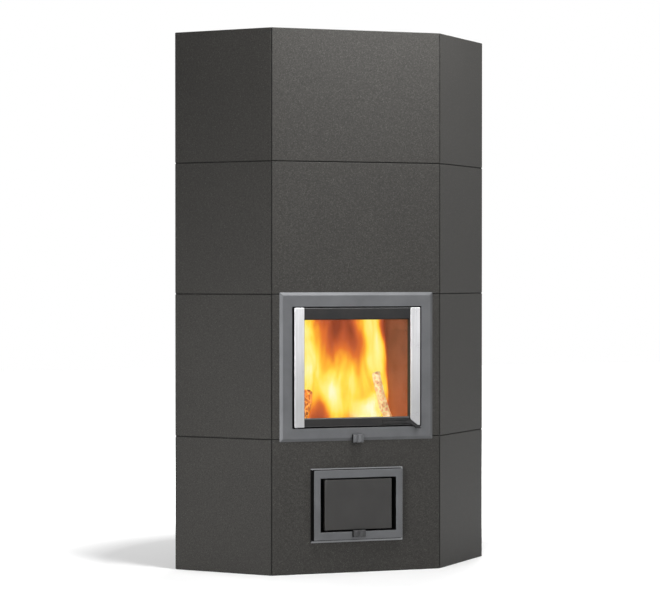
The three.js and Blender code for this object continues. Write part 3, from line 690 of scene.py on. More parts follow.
def rope_finish():
    """Slanting bands stand for the rope's strands."""
    finish = Finish("woven seal rope")
    strands = finish.add("ShaderNodeTexWave", wave_type="BANDS", bands_direction="DIAGONAL")
    finish.feed(strands.inputs["Vector"], finish.place)
    finish.feed(strands.inputs["Scale"], 160.0)
    finish.feed(strands.inputs["Distortion"], 2.0)
    colour = finish.ramp(strands.outputs["Fac"], (0.2, srgb(92, 88, 80)), (0.8, srgb(170, 165, 154)))
    finish.bump(strands.outputs["Fac"], 0.7, 0.8 * MM)
    return finish.surface(colour, 1.0)


GLASS = glass_finish()
ENAMEL = enamel_finish()
ROPE = rope_finish()
print("made", GLASS.name, ENAMEL.name, ROPE.name)

# %% [markdown]
# ## Finishes of the CAD nodes that stay
#
# A CAD node whose shape is already right keeps its mesh and only gets a better material in its slot. The
# table below names a finish for each kind of node by a part of its name.

# %% Finishes onto CAD nodes
NODE_FINISHES = {
    "_tile": TILE,
    "_joint": MORTAR,
    "base_block": CONCRETE,
    "top_cover": CONCRETE,
    "_block": REFRACTORY,
    "_slab": REFRACTORY,
    "core_cap": REFRACTORY,
    "firebrick": FIREBRICK,
    "grate": IRON,
    "ember_guard": IRON,
    "fire_door_frame": LACQUER,
    "ash_hatch_frame": LACQUER,
    "slider": LACQUER,
    "fire_door_leaf": IRON,
    "door_handle": IRON,
    "_strip": BRUSHED,
    "_pin": TURNED,
    "_rod": TURNED,
    "retainer": SHEET,
    "ash_pan": SHEET,
    "flue_collar": SHEET,
    "door_glass": GLASS,
    "gasket": ROPE,
    "ash_hatch": ENAMEL,
}


def dress_nodes():
    """Each node takes the first finish in the table whose key its name holds."""
    for name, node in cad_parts.items():
        chosen = next(finish for key, finish in NODE_FINISHES.items() if key in name)
        for slot in node.material_slots:
            slot.material = chosen
    return len(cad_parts)


print("dressed nodes:", dress_nodes())

# %% [markdown]
# ## The shell of tiles
#
# Twenty tiles stand round the plan: a front, two cheeks and two backs in each of four courses. Their edges
# meet on the mitre, so a tile gets narrower with depth. The CAD tiles have a flat 2 mm chamfer. Here the
# visible edge is rolled in an arc, which draws the fine soft highlight that a fired edge has.
#
# We first walk once round the plan, which gives every face a place and two directions.

# %% Walk round the plan
FRONT_CORNER_TURN = math.radians(45)
SQUARE_TURN = math.radians(90)


def plan_faces():
    """Each face starts where the last one ended, and the walk then turns by that corner's angle."""
    back_width = (FRONT_HALF + CHEEK_WIDTH * math.sqrt(0.5)) * math.sqrt(2)
    order = [
        ("front", 2 * FRONT_HALF, FRONT_CORNER_TURN),
        ("right_cheek", CHEEK_WIDTH, SQUARE_TURN),
        ("right_back", back_width, SQUARE_TURN),
        ("left_back", back_width, SQUARE_TURN),
        ("left_cheek", CHEEK_WIDTH, FRONT_CORNER_TURN),
    ]
    place = np.array([-FRONT_HALF, FRONT_PLANE])
    heading = 0.0
    walked = {}
    for index, (name, width, turn) in enumerate(order):
        along = np.array([math.cos(heading), math.sin(heading)])
        walked[name] = {
            "start": place,
            "along": along,
            "inward": np.array([-along[1], along[0]]),
            "width": width,
            "mitres": (order[index - 1][2] / 2, turn / 2),
        }
        place = place + width * along
        heading += turn
    return walked


PLAN = plan_faces()
print("faces:", {name: round(face["width"], 4) for name, face in PLAN.items()})

# %% [markdown]
# A tile's outline is drawn along its face and then laid onto the plan. The deeper an outline lies, the
# further it moves in at its mitred ends. The two tiles that hold a door get two more outlines round their
# hole, and the stack closes on itself.

# %% Tiles
TILE_ROLL = 2 * MM
TILE_CORNER = 1.2 * MM
HOLE_CORNER = 3 * MM
FIRE_HOLE = {"side": 30.5 * MM, "foot": 31.5 * MM, "head": 35.5 * MM}
HATCH_HOLE = {"side": 17 * MM, "foot": 24 * MM, "head": 20 * MM}
FRONT_HOLES = {"firebox": ("fire_door_frame", FIRE_HOLE), "bottom": ("ash_hatch_frame", HATCH_HOLE)}


def tile_ring(face, z_range, gap, depth, radius=TILE_CORNER):
    """The tile's outline at one depth: each end moves in by depth * tan(mitre), then all by the gap."""
    start, end = face["mitres"]
    low = TILE_JOINT / 2 / math.cos(start) + depth * math.tan(start)
    high = face["width"] - TILE_JOINT / 2 / math.cos(end) - depth * math.tan(end)
    outline = rounded(inset(rectangle((low, high), z_range), gap), radius)
    plan = face["start"] + outline[:, :1] * face["along"] + depth * face["inward"]
    return np.column_stack([plan, outline[:, 1]])


def hole_ring(node, margins, depth):
    """The hole behind a door frame: the frame's box, drawn in by a margin on each side."""
    (x0, x1), (z0, z1) = ranges(node)
    outline = rectangle(
        (x0 + margins["side"], x1 - margins["side"]),
        (z0 + margins["foot"], z1 - margins["head"]),
    )
    return ring(outline, depth, HOLE_CORNER)


def shell_tile(course, side):
    """Outlines from the rolled front edge to the back. With a door they go on round its hole."""
    node = f"{course}_{side}_tile"
    face = PLAN[side]
    z_range = ranges(node)[1]
    rings = [tile_ring(face, z_range, gap, depth) for gap, depth in quarter(TILE_ROLL)]
    rings.append(tile_ring(face, z_range, 0.0, TILE_THICKNESS))
    hole = FRONT_HOLES.get(course) if side == "front" else None
    if hole:
        rings += [hole_ring(*hole, TILE_THICKNESS), hole_ring(*hole, 0.0)]
    made = piece(f"{node}_dressed", skin(rings, loop=bool(hole)), TILE, stands_for=[node])
    return weigh(made)


COURSES = ("bottom", "firebox", "upper", "top")
tiles = [shell_tile(course, side) for course in COURSES for side in PLAN]
print("tiles:", len(tiles), "faces each:", len(tiles[0].data.polygons))

# %% [markdown]
# ## The runs of the air knobs
#
# Each door frame has a knob that slides along its lower bar. A slot through the bar's face lets the knob's
# stem pass, and a pocket behind the face gives its head room to travel. Each is as long as what slides in
# it, plus the travel and a running gap at both ends. Both frames have such a run, so one function cuts it.

# %% Runs of the air knobs
SLIDE_TRAVEL = 12 * MM
RUN_GAP = 0.3 * MM
STEM_HALF = 4.5 * MM
HEAD_HALF = 20 * MM
HEAD_MARGIN = 4.5 * MM
UPPER_STEM = (452.5 * MM, 458.5 * MM)
LOWER_STEM = (122.5 * MM, 128.5 * MM)
UPPER_POCKET = -3 * MM
LOWER_POCKET = -6 * MM


def carve_run(made, stem_z, face, pocket):
    """Half a slot's length = half of what slides in it + the travel + the gap."""
    slot_z = (stem_z[0] - RUN_GAP, stem_z[1] + RUN_GAP)
    pocket_z = (slot_z[0] - HEAD_MARGIN, slot_z[1] + HEAD_MARGIN)
    slot_reach = STEM_HALF + SLIDE_TRAVEL + RUN_GAP
    pocket_reach = HEAD_HALF + SLIDE_TRAVEL + RUN_GAP
    carve(
        made,
        box_shape((-slot_reach, slot_reach), (face - 1 * MM, 1 * MM), slot_z),
        box_shape((-pocket_reach, pocket_reach), (pocket, 1 * MM), pocket_z),
    )


print("each air knob slides", SLIDE_TRAVEL, "m to both sides")

# %% [markdown]
# ## The fire door's frame
#
# A steel plate lies on the tiles round the door. Its rim slopes back to the tile at a shallow angle, and a
# sleeve runs from it through the tile to a lip that the seal rope presses on. All of that is one section
# carried round a rectangle, so we list the section's corners once, from the opening over the face, down
# the slope and back through the sleeve, and skin them as a loop.

# %% Fire door frame
FRAME_FACE = -6 * MM
FRAME_SLOPE = 10 * MM
FRAME_ROLL = 0.8 * MM
FIRE_OPENING = rectangle((-227.5 * MM, 227.5 * MM), (484.5 * MM, 888.5 * MM))
FIRE_LIP = rectangle((-199 * MM, 199 * MM), (511 * MM, 862.5 * MM))
SLEEVE_WALL = 10 * MM
SLEEVE_DEPTH = 62 * MM
LIP_DEPTH = 34 * MM
WALL_DEPTH = 5 * MM


def walls_of(opening):
    """Picks an opening's walls for black painted shade: faces inside its outline that look sideways or lie
    deep in it.
    """
    low, high = opening.min(axis=0) - 0.2 * MM, opening.max(axis=0) + 0.2 * MM

    def choose(centres, normals):
        """True for a wall of this one opening."""
        flat = centres[:, [0, 2]]
        inside = np.all((flat > low) & (flat < high), axis=1)
        deep = centres[:, 1] > FRONT_PLANE + WALL_DEPTH
        return inside & ((np.abs(normals[:, 1]) < 0.5) | deep)

    return choose


def lip_walls(centres, normals):
    """Picks the walls of the frame's inner lip, behind the door: they are lined like the firebox."""
    sideways = np.abs(normals[:, 1]) < 0.5
    behind_door = centres[:, 1] > FRONT_PLANE + LIP_DEPTH + 2 * MM
    in_lip = np.abs(centres[:, 0]) < FIRE_LIP.max(axis=0)[0] + 3 * MM
    return sideways & behind_door & in_lip


def fire_frame():
    """Inside the opening, over the face, down the slope to the tile, and back through the sleeve."""
    plate_outline = rectangle(*ranges("fire_door_frame"))
    face = inset(plate_outline, FRAME_SLOPE)
    sleeve = inset(FIRE_OPENING, -SLEEVE_WALL)
    rings = opening_edge(FIRE_OPENING, FRAME_FACE, FRAME_ROLL, 1 * MM)
    rings += [
        ring(inset(face, 0.7 * MM), FRAME_FACE, 1.5 * MM),
        ring(inset(face, -0.3 * MM), FRAME_FACE + 0.2 * MM, 2 * MM),
        ring(inset(plate_outline, 0.8 * MM), -0.9 * MM, 2 * MM),
        ring(plate_outline, -0.3 * MM, 2 * MM),
        ring(plate_outline, 0.0, 2 * MM),
        ring(sleeve, 0.0, 2 * MM),
        ring(sleeve, SLEEVE_DEPTH, 2 * MM),
        ring(FIRE_LIP, SLEEVE_DEPTH, 4 * MM),
        ring(FIRE_LIP, LIP_DEPTH, 4 * MM),
        ring(FIRE_OPENING, LIP_DEPTH, 1 * MM),
    ]
    shape = skin(rings, loop=True)
    made = piece("fire_frame_plate", shape, LACQUER, stands_for=["fire_door_frame"])
    # The opening's walls get black painted shade. The lip behind the door takes the firebrick finish.
    paint(made, PAINTED_SHADE_BLACK, walls_of(FIRE_OPENING))
    paint(made, FIREBRICK, lip_walls)
    carve_run(made, UPPER_STEM, FRAME_FACE, UPPER_POCKET)
    return weigh(made)


print("frame faces:", len(fire_frame().data.polygons))

# %% [markdown]
# ## The fire door
#
# The door is one iron casting with a window. Its outer edge and the window's edge are both chamfered. The
# chamfers that face upwards, and the outer chamfer along the top and foot, get a paler iron as a painted
# highlight, which shows as thin grey lines. The leaf is again a section carried round the window as a
# loop.
# The recess for the handle's lever is carved out of its foot.

# %% Door leaf
DOOR_FACE = -6 * MM
DOOR_BACK = 26 * MM
DOOR_CHAMFER = 3 * MM
WINDOW_CHAMFER = 3.5 * MM
WEB_DEPTH = 6 * MM
WINDOW = rectangle((-184 * MM, 184 * MM), (518 * MM, 844.5 * MM))
GLASS_SEAT = inset(WINDOW, -9.5 * MM)
LEVER_X = (90 * MM, 191.5 * MM)
LEVER_Z = (493.5 * MM, 504 * MM)
LEVER_FRONT = -7 * MM
LEVER_BACK = 1 * MM
SEAT_GAP = 1.3 * MM
EDGE_EASE = 0.5 * MM


def highlighted_edges(centres, normals):
    """Picks the outer chamfer along the door's top and foot, and the chamfers that face upwards, for a
    painted highlight.
    """
    chamfer = (normals[:, 1] < -0.5) & (normals[:, 1] > -0.9)
    leaf_z = ranges("fire_door_leaf")[1]
    above = np.abs(centres[:, 2] - sum(leaf_z) / 2) > (leaf_z[1] - leaf_z[0]) / 2 - DOOR_CHAMFER
    return chamfer & (above | (normals[:, 2] > 0.5))


def in_recess(centres, normals):
    """Picks the walls and the floor of the lever's recess, which get black painted shade."""
    middle = np.array([sum(LEVER_X) / 2, sum(LEVER_Z) / 2])
    half = np.array([LEVER_X[1] - LEVER_X[0], LEVER_Z[1] - LEVER_Z[0]]) / 2 + SEAT_GAP + 0.1 * MM
    inside = np.all(np.abs(centres[:, [0, 2]] - middle) < half, axis=1)
    depth = centres[:, 1] - FRONT_PLANE
    return inside & (depth > DOOR_FACE + 0.1 * MM) & (depth < LEVER_BACK + 2 * SEAT_GAP)


def door_leaf():
    """Out of the window, over its chamfer and the face, round the edge, and back to the glass seat."""
    leaf = rectangle(*ranges("fire_door_leaf"))
    soft = EDGE_EASE
    rings = [
        ring(WINDOW, WEB_DEPTH, 3 * MM),
        ring(WINDOW, DOOR_FACE + WINDOW_CHAMFER + soft, 3 * MM),
        ring(inset(WINDOW, -soft / 2), DOOR_FACE + WINDOW_CHAMFER, 3 * MM),
        ring(inset(WINDOW, soft - WINDOW_CHAMFER), DOOR_FACE + soft / 2, 4 * MM),
        ring(inset(WINDOW, -WINDOW_CHAMFER), DOOR_FACE, 4 * MM),
        ring(inset(leaf, DOOR_CHAMFER), DOOR_FACE, 1 * MM),
        ring(inset(leaf, DOOR_CHAMFER - soft), DOOR_FACE + soft / 2, 1 * MM),
        ring(inset(leaf, soft / 2), DOOR_FACE + DOOR_CHAMFER, 1 * MM),
        ring(leaf, DOOR_FACE + DOOR_CHAMFER + soft, 1 * MM),
        ring(leaf, DOOR_BACK - soft, 1 * MM),
        ring(inset(leaf, soft), DOOR_BACK, 1 * MM),
        ring(GLASS_SEAT, DOOR_BACK, 2 * MM),
        ring(GLASS_SEAT, WEB_DEPTH, 2 * MM),
    ]
    shape = skin(rings, loop=True)
    made = piece("door_casting", shape, IRON, "fire_door", stands_for=["fire_door_leaf"])
    recess_x = (LEVER_X[0] - SEAT_GAP, LEVER_X[1] + SEAT_GAP)
    recess_z = (LEVER_Z[0] - SEAT_GAP, LEVER_Z[1] + SEAT_GAP)
    carve(made, box_shape(recess_x, (DOOR_FACE - 1 * MM, LEVER_BACK + SEAT_GAP), recess_z))
    # The picked chamfers get a paler iron as a painted highlight.
    paint(made, EDGE_HIGHLIGHT_IRON, highlighted_edges)
    # The lever's recess gets black painted shade.
    paint(made, PAINTED_SHADE_BLACK, in_recess)
    return weigh(made)


print("leaf faces:", len(door_leaf().data.polygons))

# %% [markdown]
# Two bright steel bars stand on the door's face, one at each side of the window. Each is a plate with
# rolled edges. The right one's foot is cut away on a slant, which leaves room for the handle's nose.

# %% Steel strips
STRIP_FRONT = -13 * MM
STRIP_CUT = (25 * MM, 20.5 * MM)
STRIP_ROLL = 1.5 * MM


def steel_strip(side):
    """A flat bar up the door's edge. The right one's foot is cut away on a slant for the handle."""
    node = f"{side}_door_strip"
    x_range, z_range = ranges(node)
    corners = rectangle(x_range, z_range)
    if side == "right":
        x, z = x_range[0], z_range[0]
        slant = np.array([(x, z + STRIP_CUT[1]), (x + STRIP_CUT[0], z)])
        corners = np.concatenate([slant, corners[1:]])
    shape = plate(corners, STRIP_FRONT, DOOR_FACE, STRIP_ROLL, STRIP_ROLL)
    name = f"{side}_steel_strip"
    return weigh(piece(name, shape, BRUSHED, "fire_door", stands_for=[node]))


print("strips:", [steel_strip(side).name for side in ("left", "right")])

# %% [markdown]
# The pane is ceramic glass with ground edges, held by a sheet steel retainer. A round woven rope runs
# round the back of the leaf. The rope is a circle carried round a rounded rectangle: the angle of the
# circle decides how far each outline moves out and back.

# %% Glass, retainer and seal rope
GLASS_FRONT = 6.3 * MM
GLASS_BACK = 10.3 * MM
GLASS_GRIND = 0.6 * MM
GLASS_CORNER = 2 * MM
GLASS_PANE = inset(WINDOW, -9 * MM)
RETAINER_FRONT = 10.6 * MM
RETAINER_BACK = 13.6 * MM
RETAINER_WIDTH = 8 * MM
RETAINER_ROLL = 0.6 * MM
RETAINER_CORNER = 3 * MM
ROPE_LINE = rectangle((-205 * MM, 205 * MM), (505 * MM, 868.5 * MM))
ROPE_DEPTH = 30 * MM
ROPE_RADIUS = 3.7 * MM
ROPE_CORNER = 9 * MM


def pane():
    """A plate whose four edges are ground away at 45 degrees in front and behind."""
    ground = inset(GLASS_PANE, GLASS_GRIND)
    rings = [
        ring(ground, GLASS_FRONT, GLASS_CORNER),
        ring(GLASS_PANE, GLASS_FRONT + GLASS_GRIND, GLASS_CORNER),
        ring(GLASS_PANE, GLASS_BACK - GLASS_GRIND, GLASS_CORNER),
        ring(ground, GLASS_BACK, GLASS_CORNER),
    ]
    node = "door_glass"
    shape = skin(rings)
    return weigh(piece("fire_glass", shape, GLASS, "fire_door", stands_for=[node]))


def retainer():
    """A flat band from the pane's outline inwards, rolled at both front edges."""
    node = "glass_retainer"
    inner = inset(GLASS_PANE, RETAINER_WIDTH)
    rings = opening_edge(inner, RETAINER_FRONT, RETAINER_ROLL, RETAINER_CORNER)
    rings += rolled(GLASS_PANE, RETAINER_FRONT, RETAINER_ROLL, RETAINER_CORNER)
    rings += [ring(outline, RETAINER_BACK, RETAINER_CORNER) for outline in (GLASS_PANE, inner)]
    shape = skin(rings, loop=True)
    return weigh(piece("glass_holder", shape, SOOTED, "fire_door", stands_for=[node]))


def seal_rope():
    """At an angle a of the rope's circle the outline moves out by r cos a and back by r sin a."""
    turns = np.linspace(0, 2 * np.pi, 14, endpoint=False)
    rings = [
        ring(
            inset(ROPE_LINE, -ROPE_RADIUS * math.cos(turn)),
            ROPE_DEPTH + ROPE_RADIUS * math.sin(turn),
            ROPE_CORNER + ROPE_RADIUS * math.cos(turn),
        )
        for turn in turns
    ]
    shape = skin(rings, loop=True)
    node = "door_gasket"
    return piece("seal_rope", shape, ROPE, "fire_door", stands_for=[node], sharp=80)


print("behind the window:", pane().name, retainer().name, seal_rope().name)

# %% [markdown]
# ## The handle
#
# The handle is a flat lever that lies in the door's foot. Its free end is a nose that grows out of the
# door towards the lower right corner, where a finger can hook it. The nose is a slanted outline whose
# front plane leans forward: its depth is a straight function of x.

# %% Door handle
NOSE_REACH = 26 * MM
NOSE_OVERLAP = 15.5 * MM
NOSE_RISE = 4 * MM
NOSE_FOOT = 478 * MM
NOSE_FOOT_WIDTH = 10.5 * MM
NOSE_RIGHT = 220 * MM
NOSE_ROLL = 1.6 * MM
NOSE_CORNER = 1.2 * MM
NOSE_BACK = DOOR_FACE - 0.3 * MM


def nose_shape():
    """Depth of the front plane = lever front + (reach beyond it) * share of the way from root to tip."""
    root = LEVER_X[1] - NOSE_OVERLAP
    slope = STRIP_CUT[1] / STRIP_CUT[0]
    strip_left = ranges("right_door_strip")[0][0]
    head = LEVER_Z[1] + NOSE_RISE
    corners = np.array([
        (root, LEVER_Z[0]),
        (strip_left, LEVER_Z[0]),
        (NOSE_RIGHT - NOSE_FOOT_WIDTH, NOSE_FOOT),
        (NOSE_RIGHT, NOSE_FOOT),
        (NOSE_RIGHT, head - slope * (NOSE_RIGHT - strip_left)),
        (strip_left - 1 * MM, head),
        (root, LEVER_Z[1]),
    ])

    def leaning(gap, behind):
        """The outline at one inset, with its depth leaning forward as x grows."""
        outline = rounded(inset(corners, gap), NOSE_CORNER)
        share = np.clip((outline[:, 0] - root) / (NOSE_RIGHT - root), 0, 1)
        depth = LEVER_FRONT - (NOSE_REACH + LEVER_FRONT) * share + behind
        level = FRONT_PLANE + np.minimum(depth, NOSE_BACK)
        return np.column_stack([outline[:, 0], level, outline[:, 1]])

    rings = [leaning(gap, behind) for gap, behind in quarter(NOSE_ROLL)]
    rings.append(ring(corners, NOSE_BACK, NOSE_CORNER))
    return skin(rings)


def door_handle():
    """The flat lever and its nose as one piece."""
    bar = plate(rectangle(LEVER_X, LEVER_Z), LEVER_FRONT, LEVER_BACK, 1 * MM, 1.5 * MM)
    shape = merge(bar, nose_shape())
    made = piece("lever_handle", shape, IRON, "door_handle", stands_for=["door_handle"])
    return weigh(made)


print("handle faces:", len(door_handle().data.polygons))

# %% [markdown]
# ## The air knobs
#
# Each frame's lower bar carries a cast knob for the air slide. Its front is not flat: two soft upright
# ridges give the fingers hold. The front is a height field over a grid, with u running across it from 0
# to 1: height = ridge * (1 - cos(4 pi u)) / 2, which fades to a rolled edge at the rim. The sides and the
# stem behind it are plain outlines.

# %% Air knobs
KNOB_DEPTH = 14 * MM
KNOB_ROLL = 4 * MM
KNOB_RIDGE = 3 * MM
KNOB_STEPS = 40
STEM_EDGE = 0.5 * MM
UPPER_KNOB = ((-18.5 * MM, 18.5 * MM), (435 * MM, 462 * MM))
LOWER_KNOB = ((-22 * MM, 22 * MM), (121 * MM, 144 * MM))


def knob_front(x_range, z_range, front):
    """A grid whose rim is turned back in a circle: depth = r - sqrt(r^2 - (r - t)^2), t from the rim."""
    u, v = np.meshgrid(np.linspace(0, 1, KNOB_STEPS + 1), np.linspace(0, 1, KNOB_STEPS + 1))
    x = x_range[0] + u * (x_range[1] - x_range[0])
    z = z_range[0] + v * (z_range[1] - z_range[0])
    rim_x = np.minimum(x - x_range[0], x_range[1] - x)
    rim_z = np.minimum(z - z_range[0], z_range[1] - z)
    over_x = np.maximum(KNOB_ROLL - rim_x, 0)
    over_z = np.maximum(KNOB_ROLL - rim_z, 0)
    over = np.minimum(np.hypot(over_x, over_z), KNOB_ROLL)
    roll = KNOB_ROLL - np.sqrt(KNOB_ROLL**2 - over**2)
    inside = np.clip(np.minimum(rim_x, rim_z) / KNOB_ROLL, 0, 1)
    ridge = KNOB_RIDGE * (1 - np.cos(4 * np.pi * u)) / 2 * inside
    depth = front + KNOB_RIDGE * inside + roll - ridge
    return np.stack([x, FRONT_PLANE + depth, z], axis=-1)


def knob_shape(x_range, z_range, front):
    """The front grid, closed by a flat back whose outline is the grid's rim."""
    points = knob_front(x_range, z_range, front).reshape(-1, 3)
    faces, rim = grid(KNOB_STEPS + 1)
    back = points[rim]
    back[:, 1] = FRONT_PLANE + front + KNOB_DEPTH
    behind = len(points) + np.arange(len(rim))
    sides = np.stack([np.roll(rim, -1), rim, behind, np.roll(behind, -1)], axis=-1)
    return np.concatenate([points, back]), faces + sides.tolist() + [behind[::-1].tolist()]


def side_walls(centres, normals):
    """Picks the faces that look left or right, which get black painted shade."""
    return np.abs(normals[:, 0]) > 0.9


def air_knob(name, node, finish, spans, stem_z, pocket):
    """The knob, and behind it the stem through the slot and the head that slides in the pocket."""
    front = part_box(node)[0].y - FRONT_PLANE
    stem = rectangle((-STEM_HALF, STEM_HALF), stem_z)
    head = rectangle((-HEAD_HALF, HEAD_HALF), (stem_z[0] - HEAD_MARGIN, stem_z[1] + HEAD_MARGIN))
    rings = [
        ring(stem, front + KNOB_DEPTH - 1 * MM, STEM_EDGE),
        ring(stem, pocket + RUN_GAP, STEM_EDGE),
        ring(head, pocket + RUN_GAP, STEM_EDGE),
        ring(head, -RUN_GAP, STEM_EDGE),
    ]
    shape = merge(knob_shape(*spans, front), skin(rings))
    made = piece(name, shape, finish, node, stands_for=[node])
    # The knob's sides get black painted shade.
    paint(made, PAINTED_SHADE_BLACK, side_walls)
    return made


knobs = [
    air_knob("upper_air_knob", "upper_air_slider", LACQUER, UPPER_KNOB, UPPER_STEM, UPPER_POCKET),
    air_knob("lower_air_knob", "lower_air_slider", DARK_LACQUER, LOWER_KNOB, LOWER_STEM, LOWER_POCKET),
]
print("knobs:", [knob.name for knob in knobs])

# %% [markdown]
# ## The ash hatch
#
# The hatch's frame is a thin flange on the tile with a thick square ring standing on it. Between the two
# runs a narrow shadow groove. The panel sits almost flush in the ring. Frame and panel are sections
# carried round rectangles, as the fire door's frame is. The groove and the shaded strip beside it get
# rings of their own on the flange, so that they can take a black painted shade, and the rim beyond them a
# pale painted highlight.

# %% Measures and painted parts of the hatch's frame
HATCH_CORNER = 2.5 * MM
HATCH_FACE = -20 * MM
HATCH_ROLL = 2 * MM
FLANGE_FACE = -3 * MM
FLANGE_ROLL = 0.8 * MM
NECK_FACE = -5 * MM
NECK_INSET = 2.5 * MM
SHADE_ABOVE = 1.3 * MM
SHADE_BELOW = 3.1 * MM
HATCH_RING = rectangle((-155.5 * MM, 155.5 * MM), (112 * MM, 345 * MM))
HATCH_OPENING = rectangle((-133 * MM, 133 * MM), (139 * MM, 318 * MM))
HATCH_LIP = rectangle((-104 * MM, 104 * MM), (157 * MM, 300 * MM))
HATCH_LIP_DEPTH = 14 * MM
HAIR = 0.1 * MM


def around_ring(centres):
    """How far each centre lies beyond the ring's outline in x and z, and how wide the shade is there."""
    middle = HATCH_RING.mean(axis=0)
    half = HATCH_RING.max(axis=0) - middle
    flat = centres[:, [0, 2]] - middle
    return np.abs(flat) - half, np.where(flat[:, 1] > 0, SHADE_ABOVE, SHADE_BELOW)


def hatch_recesses(centres, normals):
    """Picks the faces that get black painted shade: the ring's outer walls, the groove, and the strips of
    the flange beside the ring.
    """
    beyond, shade = around_ring(centres)
    behind_face = centres[:, 1] > FRONT_PLANE + HATCH_FACE + HATCH_ROLL
    near_ring = np.max(beyond, axis=1)
    in_groove = (near_ring > -NECK_INSET - HAIR) & (near_ring < shade)
    return behind_face & (in_groove | (beyond[:, 0] > HAIR))


def flange_rim_highlight(centres, normals):
    """Picks the flange's rim for a pale painted highlight, apart from its left side, which keeps its black
    painted shade.
    """
    beyond, shade = around_ring(centres)
    at_right = (centres[:, 0] > 0) & (beyond[:, 0] > SHADE_ABOVE)
    on_flange = centres[:, 1] > FRONT_PLANE + FLANGE_FACE - HAIR
    return on_flange & ((beyond[:, 1] > shade) | at_right) & (normals[:, 1] < 0.5)


print("hatch ring is", round(float(np.ptp(HATCH_RING[:, 0])), 4), "m wide")

# %% [markdown]
# The section starts inside the opening and goes over the ring's face. It turns in under the neck, which
# makes the groove, runs out over the flange and comes back inside through the tile.

# %% Ash hatch frame
def hatch_frame():
    """Inside the opening, over the ring's face, under its neck, out over the flange, and back inside."""
    flange = rectangle(*ranges("ash_hatch_frame"))
    sleeve = inset(HATCH_OPENING, -SLEEVE_WALL)
    rings = opening_edge(HATCH_OPENING, HATCH_FACE, HATCH_ROLL, 0.6 * MM)
    rings += rolled(HATCH_RING, HATCH_FACE, HATCH_ROLL, HATCH_CORNER)
    rings += [
        ring(HATCH_RING, NECK_FACE, HATCH_CORNER),
        ring(inset(HATCH_RING, NECK_INSET), NECK_FACE, 1 * MM),
        ring(inset(HATCH_RING, NECK_INSET), FLANGE_FACE, 1 * MM),
        ring(inset(HATCH_RING, -SHADE_ABOVE), FLANGE_FACE, HATCH_CORNER),
        ring(inset(HATCH_RING, -SHADE_BELOW), FLANGE_FACE, HATCH_CORNER),
    ]
    rings += rolled(flange, FLANGE_FACE, FLANGE_ROLL, HATCH_CORNER)
    rings += [
        ring(flange, 0.0, HATCH_CORNER),
        ring(sleeve, 0.0, 2 * MM),
        ring(sleeve, TILE_THICKNESS, 2 * MM),
        ring(HATCH_LIP, TILE_THICKNESS, 3 * MM),
        ring(HATCH_LIP, HATCH_LIP_DEPTH, 3 * MM),
        ring(HATCH_OPENING, HATCH_LIP_DEPTH, 0.6 * MM),
    ]
    shape = skin(rings, loop=True)
    made = piece("hatch_ring", shape, LACQUER, stands_for=["ash_hatch_frame"])
    # The opening's walls, the ring's outer walls, the groove and the strips beside it get black painted
    # shade.
    paint(made, PAINTED_SHADE_BLACK, walls_of(HATCH_OPENING))
    paint(made, PAINTED_SHADE_BLACK, hatch_recesses)
    # The flange's rim above, below and at the right gets a pale painted highlight.
    paint(made, FLANGE_HIGHLIGHT_LACQUER, flange_rim_highlight)
    carve_run(made, LOWER_STEM, HATCH_FACE, LOWER_POCKET)
    return weigh(made)


print("hatch frame faces:", len(hatch_frame().data.polygons))

# %% [markdown]
# The panel is a plate with a shallow box behind it. The box reaches back to the frame's lip and overlaps
# it all round, so nothing of the inside shows through the gap round the panel.

# %% Ash hatch panel
PANEL = rectangle((-118 * MM, 118 * MM), (145 * MM, 313 * MM))
PANEL_CORNER = 2 * MM
PANEL_FACE = -18 * MM
PANEL_BACK = -2 * MM
PANEL_BOX = rectangle((-110 * MM, 110 * MM), (151 * MM, 306 * MM))
PANEL_BOX_BACK = 13.7 * MM


def hatch_panel():
    """The panel's rolled outline, then a smaller one for the box behind it."""
    node = "ash_hatch"
    rings = rolled(PANEL, PANEL_FACE, HATCH_ROLL, PANEL_CORNER)
    rings += [
        ring(PANEL, PANEL_BACK, PANEL_CORNER),
        ring(PANEL_BOX, PANEL_BACK, PANEL_CORNER),
        ring(PANEL_BOX, PANEL_BOX_BACK - 1 * MM, PANEL_CORNER),
        ring(inset(PANEL_BOX, 1 * MM), PANEL_BOX_BACK, 1 * MM),
    ]
    return weigh(piece("hatch_panel", skin(rings), ENAMEL, node, stands_for=[node]))


print("hatch panel:", hatch_panel().name)

# %% [markdown]
# ## The flue collar
#
# On top a sheet steel collar takes the smoke pipe. It is a turned shape: one closed section in radius and
# height, carried round a circle. Its rim is curled outwards in a small bead, and its foot flange lies on
# the cover. The object's highest line is this rim, so the bead ends exactly at the CAD collar's top.

# %% Flue collar
FLUE_RADIUS = 90 * MM
FLUE_WALL = 3 * MM
FLUE_FLANGE = 15 * MM
FLUE_FLANGE_THICKNESS = 3 * MM
FLUE_BEAD = 2 * MM
FLUE_EASE = 1 * MM
FLUE_FILLET = 1.5 * MM
FLUE_STEPS = 96


